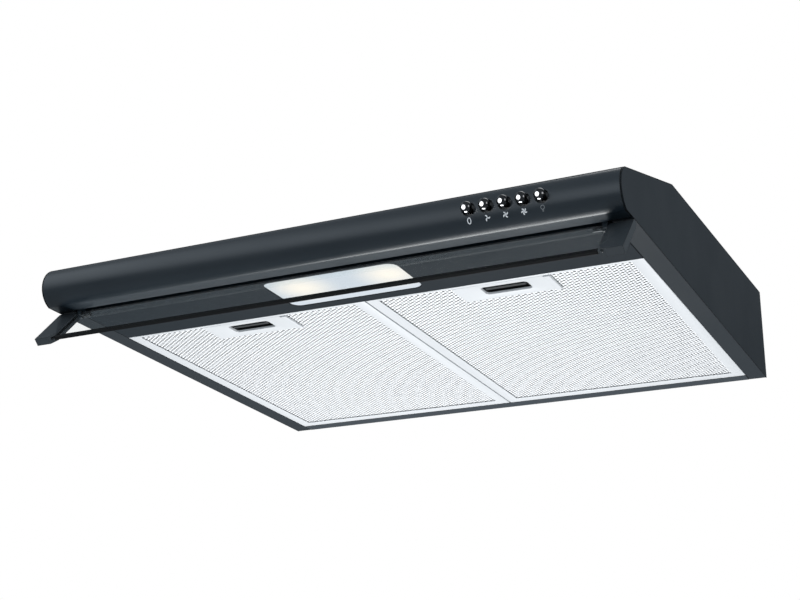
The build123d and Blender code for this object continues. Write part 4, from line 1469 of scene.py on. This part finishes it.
def icon_strips(icon: Icon, reach: float) -> list[Array]:
    """Strips that draw one sign.

    A ring is a loop of an ellipse; a fan blade is a strip that swells and curls away from
    the hub; the lamp is a ring with a short cap.

    Args:
        icon: Which sign.
        reach: Half the height of the sign.

    Returns:
        One array of two edges for each strip.
    """
    turn = np.linspace(0, 2 * math.pi, 33)
    ring = np.stack([np.cos(turn), np.sin(turn)], axis=1)
    if icon is Icon.OFF:
        return [stroke(ring * (0.52 * reach, 0.82 * reach), 0.26 * reach)]
    if icon is Icon.LIGHT:
        globe = stroke(ring * (0.56 * reach, 0.56 * reach) + (0, 0.25 * reach), 0.16 * reach)
        cap_x = np.linspace(-0.26 * reach, 0.26 * reach, 3)
        caps = [stroke(np.stack([cap_x, np.full(3, level * reach)], axis=1), 0.14 * reach)
                for level in (-0.55, -0.8)]
        return [globe, *caps]
    blades = {Icon.SPEED_1: 3, Icon.SPEED_2: 4, Icon.SPEED_3: 5}[icon]
    t = np.linspace(0, 1, 9)
    strips = [stroke(ring * 0.16 * reach, 0.14 * reach)]
    for k in range(blades):
        angle = 2 * math.pi * k / blades + math.pi / 2 + 0.7 * t
        line = (0.2 + 0.75 * t)[:, None] * reach * np.stack([np.cos(angle), np.sin(angle)], axis=1)
        strips.append(stroke(line, reach * (0.1 + 0.34 * np.sin(math.pi * np.clip(t, 0, 0.97)))))
    return strips


# ---------------------------------------------------------------- grease filters
@dataclass
class GreaseFilter:
    """One drop-down grease filter: folded frame, expanded face mesh, pack and latch.

    Heights are over the underside. The mesh lies between mesh_w and mesh_top; a cell's corner
    points stand cell_wide or cell_narrow of half a pitch from its middle, and where two cells
    are bonded the rim is higher by bond_lift. plate_play is the latch plate's way to the rail,
    and plate_lap how far the mesh reaches in over the plate.
    """

    side: Side
    height: float = 9 * MM
    rail: float = 12.5 * MM
    front_rail: float = 4 * MM
    sheet: float = 1 * MM
    pitch_x: float = 6.6 * MM
    pitch_v: float = 5.0 * MM
    strand: float = 0.22 * MM
    lift: float = 0.12 * MM
    hole_lift: float = 0.2 * MM
    bond_lift: float = 0.1 * MM
    hole_share: float = 0.66
    cell_wide: float = 0.785
    cell_narrow: float = 0.215
    edge_share: float = 0.35
    tuck: float = 3 * MM
    mesh_w: float = 1.25 * MM
    mesh_top: float = 2.2 * MM
    inner_up: float = -0.35
    plate_left: float = -50 * MM
    plate_right: float = 42 * MM
    plate_depth: float = 37 * MM
    plate_play: float = 0.2 * MM
    plate_lap: float = 1.5 * MM
    plate_spread: float = 6 * MM
    rib: float = 6.5 * MM
    rib_drop: float = 1.2 * MM
    pocket_left: float = -24 * MM
    pocket_right: float = 23 * MM
    pocket_depth: float = 19 * MM
    pocket_back_rail: float = 11 * MM
    pocket_corner: float = 4 * MM
    pocket_least: float = 0.6 * MM
    pocket_points: int = 10
    pocket_height: float = 6.2 * MM
    mouth_depth: float = 2.2 * MM
    spring_wire: float = 0.3 * MM
    spring_turns: float = 4.0
    latch_travel: float = 3.6 * MM
    tab_from_centre: float = 90 * MM
    tab_width: float = 30 * MM
    tab_reach: float = 8 * MM
    tab_lift: float = 0.6 * MM
    tab_corner: float = 2 * MM
    margin: float = 0.2 * MM

    @property
    def body(self) -> str:
        """The body that the filter swings with."""
        return f"filter_{self.side.tag}"

    @property
    def middle(self) -> float:
        """The x of the filter's middle."""
        return node_middle(f"filter_frame_{self.side.tag}")[0]

    @property
    def half(self) -> float:
        """Half the filter's width."""
        low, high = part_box(f"filter_frame_{self.side.tag}")
        return (high.x - low.x) / 2

    @property
    def pocket_length(self) -> float:
        """Length of the finger pocket."""
        return self.pocket_right - self.pocket_left

    @property
    def plate_edges(self) -> tuple[float, float]:
        """Front and back edge of the latch plate along the underside."""
        front = self.front_back()[0] + self.front_rail
        return front + self.plate_play, front + self.plate_depth

    @property
    def pocket_middle(self) -> tuple[float, float]:
        """Middle of the finger pocket, as x and as v along the underside."""
        back = self.plate_edges[1] - self.pocket_back_rail
        return self.middle + (self.pocket_left + self.pocket_right) / 2, back - self.pocket_depth / 2

    def front_back(self) -> tuple[float, float]:
        """Where the filter starts and ends along the underside, from the face mesh's box.

        Returns:
            Front and back edge.
        """
        low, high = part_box(f"filter_mesh_{self.side.tag}")
        cos, sin = math.cos(SOFFIT.tilt), math.sin(SOFFIT.tilt)
        front = (low.y - SOFFIT.back_y - self.sheet * sin) / cos - self.sheet - self.margin
        back = (high.y - SOFFIT.back_y - self.mesh_top * sin) / cos + self.sheet + self.margin
        return front, back

    def frame_surface(self) -> Surface:
        """Folded channel carried round the filter with mitred corners, plus two back tabs.

        Each profile point has a share of the rail's width and a height; a corner point lies
        where the offsets of its two sides meet.

        Returns:
            The closed frame and tabs.
        """
        front, back = self.front_back()
        s, h = self.sheet, self.height
        corners = [(0, h), (0, 0), (1, 0), (1, s), (s, s), (s, h - s), (1, h - s), (1, h)]
        x0, x1 = self.middle - self.half, self.middle + self.half
        rows = []
        for wide, slim in zip(self._channel(corners, self.rail), self._channel(corners, self.front_rail)):
            d, w = wide
            e = slim[0]
            ring = np.array([[x0 + d, front + e], [x1 - d, front + e],
                             [x1 - d, back - d], [x0 + d, back - d]])
            rows.append(SOFFIT.outline(ring, w))
        made = Surface()
        made.add_grid(np.stack(rows), close_rows=True, close_columns=True)
        for sign in (-1, 1):
            self._tab(made, self.middle + sign * self.tab_from_centre, back)
        return made

    def _channel(self, corners: Sequence[tuple[float, float]], rail: float) -> Array:
        """Profile of one rail, with its folds softened.

        Args:
            corners: Share of the rail's width, or an offset in metres, and height.
            rail: Width of the rail.

        Returns:
            Rows of offset and height.
        """
        points = [(d * rail if d in (0, 1) else d, w) for d, w in corners]
        radii = np.array([0.3, 0.9, 0.45, 0.45, 0.2, 0.2, 0.45, 0.45]) * MM
        if rail <= 2 * self.sheet:
            radii = np.minimum(radii, 0.2 * MM)
        return soften(points, radii, 3, closed=True)

    def _tab(self, made: Surface, x: float, back: float) -> None:
        """Add one flat tab that rests on the back flange, with round free corners.

        Args:
            made: The surface to add to.
            x: Middle of the tab.
            back: Back edge of the filter.
        """
        shape = rounded_rectangle(self.tab_width, self.tab_reach + self.sheet, self.tab_corner, 6)
        v = back + (self.tab_reach - self.sheet) / 2
        low = self.sheet + self.tab_lift
        rings = [SOFFIT.outline(shape, w, x, v) for w in (low, low + self.sheet)]
        made.add_bar(np.stack(rings))

    def lattice(self) -> Surface:
        """Expanded face mesh: six-sided cells round six-sided holes, closed through its thickness.

        Cell middles stand in rows half a pitch apart. A cell's rim is shared with its
        neighbours; its hole's rim is tilted, low in front and high behind, so that the strands
        catch the light. The back repeats the front one strand further up.

        Returns:
            The lattice.
        """
        front, back = self.front_back()
        under = self.rail - self.tuck
        x0, x1 = self.middle - self.half + under, self.middle + self.half - under
        v0, v1 = front + self.front_rail - self.tuck / 2, back - under
        columns = int((x1 - x0) / self.pitch_x)
        rows = int((v1 - v0) / (self.pitch_v / 2))
        i, j = np.meshgrid(np.arange(columns + 1), np.arange(rows), indexing="xy")
        cx = x0 + self.pitch_x * (i + 0.5 + 0.5 * (j % 2 == 1))
        cv = v0 + self.pitch_v / 2 * (j + 0.5)
        inside = cx < x1 - self.pitch_x * self.edge_share
        plate_left = self.middle + self.plate_left + self.plate_lap
        plate_right = self.middle + self.plate_right + self.rib - self.plate_lap
        plate_back = front + self.front_rail + self.plate_depth - self.plate_lap
        plate = (cx > plate_left) & (cx < plate_right) & (cv < plate_back)
        keep = inside & ~plate
        cx, cv = cx[keep][:, None], cv[keep][:, None]
        wide, narrow = self.cell_wide, self.cell_narrow
        rim_x = np.array([wide, narrow, -narrow, -wide, -narrow, narrow]) * (self.pitch_x / 2)
        rim_v = np.array([0.0, 1.0, 1.0, 0.0, -1.0, -1.0]) * (self.pitch_v / 2)
        bond = np.array([0.0, 1.0, 1.0, 0.0, 1.0, 1.0]) * self.bond_lift
        hole_x, hole_v = rim_x * self.hole_share, rim_v * self.hole_share
        tilt = np.sign(rim_v) * self.lift
        low, foil = self.mesh_w, self.strand
        heights = [low + bond, low + self.hole_lift + tilt,
                   low + self.hole_lift + foil + tilt, low + foil + bond]
        rings = [(rim_x, rim_v), (hole_x, hole_v), (hole_x, hole_v), (rim_x, rim_v)]
        layers = [SOFFIT.place(cx + rx, cv + rv, np.broadcast_to(w, (len(cx), 6)))
                  for (rx, rv), w in zip(rings, heights)]
        points = np.stack(layers, axis=1)
        cell_faces = grid_faces(4, 6, close_columns=True)
        faces = (np.arange(len(cx))[:, None, None] * 24 + cell_faces[None]).reshape(-1, 4)
        made = Surface()
        made.add(points.reshape(-1, 3), quads=faces)
        return made

    @staticmethod
    def shade_holes(lattice: bpy.types.Object) -> None:
        """Mark the faces inside the mesh's holes, which the finish darkens to its shadow tone as painted
        shade.

        A face on the back or on a hole's wall counts as inside; it is told by its normal,
        which points up or sideways there.

        Args:
            lattice: The face mesh.
        """
        mesh = lattice.data
        normals = np.zeros(len(mesh.polygons) * 3, np.float32)
        mesh.polygons.foreach_get("normal", normals)
        # Back and wall faces get 1: painted shade inside the holes.
        inside = (normals.reshape(-1, 3)[:, 2] > GreaseFilter.inner_up).astype(np.float32)
        layer = mesh.attributes.new("inside", "FLOAT", "FACE")
        layer.data.foreach_set("value", inside)

    def _pocket_ring(self, inset: float, w: float) -> Array:
        """Outline of the finger pocket moved inwards: a rectangle with round corners.

        Args:
            inset: How far inwards.
            w: Height of the outline.

        Returns:
            Points by three.
        """
        x, v = self.pocket_middle
        shape = rounded_rectangle(self.pocket_length - 2 * inset, self.pocket_depth - 2 * inset,
                                  max(self.pocket_corner - inset, self.pocket_least), self.pocket_points)
        return SOFFIT.outline(shape, w, x, v)

    def plate_surface(self) -> Surface:
        """Latch plate: a flat sheet with the pocket's mouth let in, and a raised rib beside it.

        Nested outlines run from the plate's edge to the mouth, over its rolled lip and down
        its short wall, then back on the far side. The finger cup is a piece of its own.

        Returns:
            The closed plate and rib.
        """
        front, back = self.plate_edges
        right = self.middle + self.plate_right
        outer = self._edge_points(self.middle + self.plate_left, right, front, back)
        below, above = (SOFFIT.outline(outer, w) for w in (0.0, self.sheet))
        lip = ((-1.0, 0.0), (-0.3, 0.12 * MM), (0.0, 0.5 * MM), (0.5, self.mouth_depth),
               (-0.3, self.mouth_depth), (-0.9, self.sheet))
        rings = [below, *(self._pocket_ring(inset * MM, w) for inset, w in lip), above]
        made = Surface()
        made.add_grid(np.stack(rings), close_rows=True, close_columns=True)
        self._rib(made, right, front, back)
        return made

    def cup_surface(self) -> Surface:
        """Black finger cup in the plate's mouth: nested outlines down its inside and back up.

        Returns:
            The closed cup.
        """
        deep, lip = self.pocket_height, self.mouth_depth
        steps = ((0.65, lip - 0.2 * MM), (0.7, deep - 1.4 * MM), (1.0, deep - 0.4 * MM), (1.8, deep),
                 (8.0, deep), (8.0, deep + 0.6 * MM), (0.4, deep + 0.6 * MM),
                 (0.05, deep - 0.3 * MM), (0.05, lip + 0.2 * MM))
        grid = np.stack([self._pocket_ring(inset * MM, w) for inset, w in steps])
        cup = Surface()
        cup.add_grid(grid[:5], close_columns=True)
        cup.add_cap(grid[4])
        cup.add_grid(grid[5:], close_columns=True)
        cup.add_cap(grid[5], flip=True)
        cup.add_grid(np.stack([grid[-1], grid[0]]), close_columns=True)
        return cup

    def coil_surface(self, middle: Sequence[float], length: float, outer: float) -> Surface:
        """Coil spring: a round section carried along a helix that climbs along the underside.

        The section is a circle spanned by the helix's radius and a vector square to that and
        to the wire.

        Args:
            middle: Its middle, in underside coordinates.
            length: Its length.
            outer: Its outer radius.

        Returns:
            The closed coil.
        """
        x, v, w = middle
        wire = self.spring_wire
        radius, climb = outer - wire, length - 2 * wire
        turn = np.linspace(0, 2 * math.pi * self.spring_turns, 24 * int(self.spring_turns) + 1)
        zero, cos, sin = np.zeros_like(turn), np.cos(turn), np.sin(turn)
        line = np.stack([x + radius * cos, v - climb / 2 + climb * turn / turn[-1], w + radius * sin], 1)
        spoke = np.stack([cos, zero, sin], axis=1)
        along = np.stack([-radius * sin, np.full_like(turn, climb / turn[-1]), radius * cos], axis=1)
        square = np.cross(along / np.linalg.norm(along, axis=1, keepdims=True), spoke)
        angle = np.linspace(0, 2 * math.pi, 10, endpoint=False)
        ring = line[:, None] + wire * (np.cos(angle)[None, :, None] * spoke[:, None]
                                       + np.sin(angle)[None, :, None] * square[:, None])
        coil = Surface()
        coil.add_bar(SOFFIT.place(ring[..., 0], ring[..., 1], ring[..., 2]))
        return coil

    def make_coil(self, finishes: Finishes) -> None:
        """Build the latch's spring at rest; in the real latch it shortens towards the pocket as the latch
        is pulled.

        Args:
            finishes: The hood's finishes.
        """
        tag = self.side.tag
        low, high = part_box(f"latch_spring_{tag}")
        x, y, z = node_middle(f"latch_spring_{tag}")
        v, w = SOFFIT.read(y, z)
        outer = (high.x - low.x) / 2
        length = (high.y - low.y - 2 * outer * math.sin(SOFFIT.tilt)) / math.cos(SOFFIT.tilt)
        piece = self.coil_surface((x, v, w), length, outer).build(f"latch_coil_{tag}")
        finish_piece(piece, finishes.steel, self.body, [f"latch_spring_{tag}"])
        anchor = SOFFIT.place(np.array(x), np.array(v + length / 2), np.array(w)).tolist()
        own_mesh(piece)

    def _edge_points(self, left: float, right: float, front: float, back: float) -> Array:
        """Plate edge points matched to the pocket's outline, corner to corner.

        Near each corner they run along both edges, evenly and up to plate_spread away.

        Args:
            left: Left edge.
            right: Right edge.
            front: Front edge.
            back: Back edge.

        Returns:
            Points by two, as many as the pocket's outline has.
        """
        px, pv = self.pocket_middle
        count, half = self.pocket_points, self.pocket_points // 2
        t = np.linspace(-1, 1, count)
        sides = []
        for k, (cx, cv) in enumerate(((right, back), (left, back), (left, front), (right, front))):
            corner = np.tile([[cx, cv]], (count, 1))
            span = min(self.plate_spread, abs(cv - pv) * 0.5, abs(cx - px) * 0.5)
            inward = (math.copysign(span, px - cx), math.copysign(span, pv - cv))
            before, after = ((1, 0), (0, 1))[k % 2]
            corner[:half, before] -= inward[before] * t[:half]
            corner[half:, after] += inward[after] * t[half:]
            sides.append(corner)
        return np.vstack(sides)

    def _rib(self, made: Surface, left: float, front: float, back: float) -> None:
        """Add the raised rib: a flat-topped profile carried from the plate's front to its back.

        Args:
            made: The surface to add to.
            left: Left edge of the rib.
            front: Front edge of the plate.
            back: Back edge of the plate.
        """
        drop, width, s = -self.rib_drop, self.rib, self.sheet
        profile = soften([(0, s), (0, drop), (width, drop), (width, s)],
                         [0.2 * MM, 0.9 * MM, 0.9 * MM, 0.2 * MM], 4, closed=True)
        rings = [SOFFIT.place(left + profile[:, 0], np.full(len(profile), v), profile[:, 1])
                 for v in (front, back)]
        made.add_bar(np.stack(rings))

    def make(self, finishes: Finishes) -> None:
        """Build and dress the whole filter.

        Args:
            finishes: The hood's finishes.
        """
        tag = self.side.tag
        rim = self.frame_surface().build(f"filter_rim_{tag}")
        add_bevel(rim, 0.3 * MM, PIECE_EDGE)
        finish_piece(rim, finishes.aluminium, self.body, [f"filter_frame_{tag}"])
        lattice = self.lattice().build(f"filter_lattice_{tag}")
        self.shade_holes(lattice)
        finish_piece(lattice, finishes.mesh, self.body, [f"filter_mesh_{tag}"])
        plate = self.plate_surface().build(f"latch_dish_{tag}")
        finish_piece(plate, finishes.aluminium, self.body, [f"latch_plate_{tag}"])
        cup = self.cup_surface().build(f"finger_cup_{tag}")
        finish_piece(cup, finishes.grip, self.body)
        dress_node(f"filter_core_{tag}", finishes.core, 0)
        dress_node(f"latch_slider_{tag}", finishes.grip, 0.6 * MM)
        self.make_coil(finishes)


# ---------------------------------------------------------------- blower, outlet, electrics
class Blower:
    """Fan housing, fan wheel and motor, hidden above the filters."""

    def make(self, finishes: Finishes) -> None:
        """Finish the kept blower nodes.

        Args:
            finishes: The hood's finishes.
        """
        dress_nodes(("volute_casing", "volute_lid"), finishes.zinc, 0.3 * MM)
        dress_node("inlet_guard", finishes.plastic, 0.4 * MM)
        dress_nodes(("casing_screws", "motor_screws"), finishes.steel, 0.25 * MM)
        dress_node("impeller", finishes.plastic, 0.2 * MM)
        dress_node("motor_shaft", finishes.steel, 0.3 * MM)
        dress_node("motor_body", finishes.motor, 0.5 * MM)
        dress_node("motor_bracket", finishes.zinc, 0.3 * MM)
        dress_node("motor_bushes", finishes.rubber, 0.6 * MM)


class Outlet:
    """Duct collar with its two backdraught flaps on one axle."""

    def make(self, finishes: Finishes) -> None:
        """Finish the kept outlet nodes.

        Args:
            finishes: The hood's finishes.
        """
        dress_node("outlet_collar", finishes.plastic, 0.4 * MM)
        dress_node("damper_axle", finishes.steel, 0.2 * MM)
        dress_nodes(("damper_flap_front", "damper_flap_back"), finishes.plastic, 0.25 * MM)


class Electrics:
    """Capacitor, terminal box and cable gland."""

    def make(self, finishes: Finishes) -> None:
        """Finish the kept electric nodes.

        Args:
            finishes: The hood's finishes.
        """
        dress_node("capacitor", finishes.can, 1.0 * MM)
        dress_node("capacitor_clip", finishes.steel, 0.2 * MM)
        dress_nodes(("terminal_box", "terminal_lid"), finishes.box, 0.6 * MM)
        dress_node("cable_gland", finishes.plastic, 0.5 * MM)


# ---------------------------------------------------------------- studio
@dataclass(frozen=True)
class Softbox:
    """A square or round lamp that looks at the hood, and may light only the pieces named."""

    name: str
    place: tuple[float, float, float]
    aim: tuple[float, float, float]
    size: float
    power: float
    only: tuple[str, ...] = ()
    shape: str = "SQUARE"

    def make(self) -> None:
        """Add the lamp, unseen by the camera."""
        data = bpy.data.lights.new(self.name, "AREA")
        data.energy, data.size, data.shape = self.power, self.size, self.shape
        lamp = bpy.data.objects.new(self.name, data)
        lamp.location = self.place
        look = np.array(self.aim) - np.array(self.place)
        lamp.rotation_euler = Vector(look).to_track_quat("-Z", "Y").to_euler()
        lamp.visible_camera = False
        bpy.context.scene.collection.objects.link(lamp)
        if self.only:
            lit = bpy.data.collections.new(f"{self.name}_lit")
            for name in self.only:
                lit.objects.link(bpy.data.objects[name])
            lamp.light_linking.receiver_collection = lit


@dataclass
class Studio:
    """White studio: camera, floor, softboxes and the glow of the room."""

    camera_place: tuple[float, float, float] = (0.6248, -1.4339, -0.523)
    camera_forward: tuple[float, float, float] = (-0.4193, 0.8526, 0.3118)
    lens: float = 65.7
    sensor: float = 36.0
    floor_z: float = -3.2
    floor_half: float = 14.0
    slant: float = 1.37
    tint: Colour = (0.86, 0.955, 1.04)

    def make(self) -> None:
        """Set the whole studio up."""
        bpy.context.scene.view_settings.view_transform = "Standard"
        self._camera()
        self._floor()
        self._room()

    def light(self) -> None:
        """Add the softboxes, once the pieces that some of them single out are there."""
        for lamp in self.lamps():
            lamp.make()

    @staticmethod
    def lamps() -> list[Softbox]:
        """The softboxes: below, right, above, and two that only light the button heads.

        Returns:
            One softbox for each.
        """
        heads = tuple(f"{name}_head" for name in Controls.names)
        row = (0.17, -0.36, -0.06)
        return [Softbox("soft_below", (-0.2, 0.34, -1.44), (0, -0.2, -0.1), 1.0, 28.0),
                Softbox("soft_right", (2.0, -0.7, 0.1), (0.2, -0.1, -0.05), 1.0, 22.0),
                Softbox("soft_above", (0.2, 0.9, 1.7), (0, -0.1, 0), 1.2, 7.0),
                Softbox("button_spark", (-0.59, -1.63, -0.32), row, 2.6, 520.0,
                        only=heads, shape="DISK"),
                Softbox("button_arc", (-0.18, 0.29, -1.01), row, 0.7, 60.0, only=heads)]

    def _camera(self) -> None:
        """Stand the camera where the hood is seen from below, in front and to the right."""
        data = bpy.data.cameras.new("camera")
        data.lens, data.sensor_width = self.lens, self.sensor
        camera = bpy.data.objects.new("camera", data)
        camera.location = self.camera_place
        camera.rotation_euler = Vector(self.camera_forward).to_track_quat("-Z", "Y").to_euler()
        bpy.context.scene.collection.objects.link(camera)
        bpy.context.scene.camera = camera

    def _floor(self) -> None:
        """Lay a plain pale floor well below the hood."""
        step = np.linspace(-self.floor_half, self.floor_half, 9)
        x, y = np.meshgrid(step, step)
        ground = Surface()
        ground.add_grid(np.stack([x, y, np.full_like(x, self.floor_z)], axis=-1))
        floor = ground.build("floor", solid=False, towards=(0, 0, 1))
        paint = Finish("floor_paint", (0.80, 0.80, 0.80), (0.78, 0.78, 0.78), (0.8, 0.8, 0.8),
                       roughness=0.8, specular=0.2, grain=60.0)
        floor.data.materials.append(paint.build())

    def _room(self) -> None:
        """Light the room: white behind the hood for the camera, and soft bands for reflections.

        The room's brightness depends on the direction looked in. s is height plus slant times
        x, which slants the bands; a bright band, a dark one below it and a mid ground fill the
        front, and the back of the room is dim. Only the camera sees it untinted.
        """
        world = bpy.data.worlds.new("room")
        bpy.context.scene.world = world
        world.use_nodes = True
        sheet = NodeSheet(world.node_tree)
        where = sheet.node("TexCoord").outputs["Generated"]
        parts = sheet.node("SeparateXYZ")
        sheet.feed(parts.inputs[0], where)
        x, y, z = parts.outputs
        s = sheet.math("MULTIPLY_ADD", x, self.slant, z)
        above = sheet.ramp(s, -0.15, 0.3, 1.0, 0.28)
        band = sheet.ramp(s, -0.95, -0.45, 0.06, 1.7)
        under = sheet.ramp(s, -1.4, -1.1, 0.62, 0.0)
        front = sheet.math("ADD", sheet.math("MULTIPLY", above, band), under)
        low = sheet.ramp(z, -0.9, -0.35, 0.9, 0.09)
        high = sheet.ramp(z, 0.05, 0.5, 0.0, 0.22)
        back = sheet.math("ADD", low, high)
        share = sheet.ramp(y, -0.35, 0.25)
        glow = sheet.math("ADD", sheet.math("MULTIPLY", front, sheet.math("SUBTRACT", 1.0, share)),
                          sheet.math("MULTIPLY", back, share))
        seen = sheet.node("LightPath").outputs["Is Camera Ray"]
        level = sheet.math("MAXIMUM", glow, seen)
        shader, leave = sheet.node("Background"), sheet.node("OutputWorld")
        sheet.feed(shader.inputs["Strength"], level)
        sheet.feed(shader.inputs["Color"], sheet.mix(seen, self.tint, (1.0, 1.0, 1.0)))
        sheet.feed(leave.inputs["Surface"], shader.outputs[0])


def main() -> None:
    """Build the hood, sub-assembly by sub-assembly, in its studio."""
    logging.basicConfig(level=logging.INFO, format="%(name)s: %(message)s")
    studio = Studio()
    studio.make()
    lamp = LampUnit()
    finishes = Finishes(lamp.glow_centres())
    fascia, controls = Fascia(), Controls()
    BodyShell().dress(finishes)
    fascia.make(finishes, controls.places(), controls.height())
    controls.make(finishes, fascia)
    lamp.make(finishes)
    Visor().make(finishes)
    for side in Side:
        GreaseFilter(side).make(finishes)
    Blower().make(finishes)
    Outlet().make(finishes)
    Electrics().make(finishes)
    studio.light()


if __name__ == "__main__":
    main()
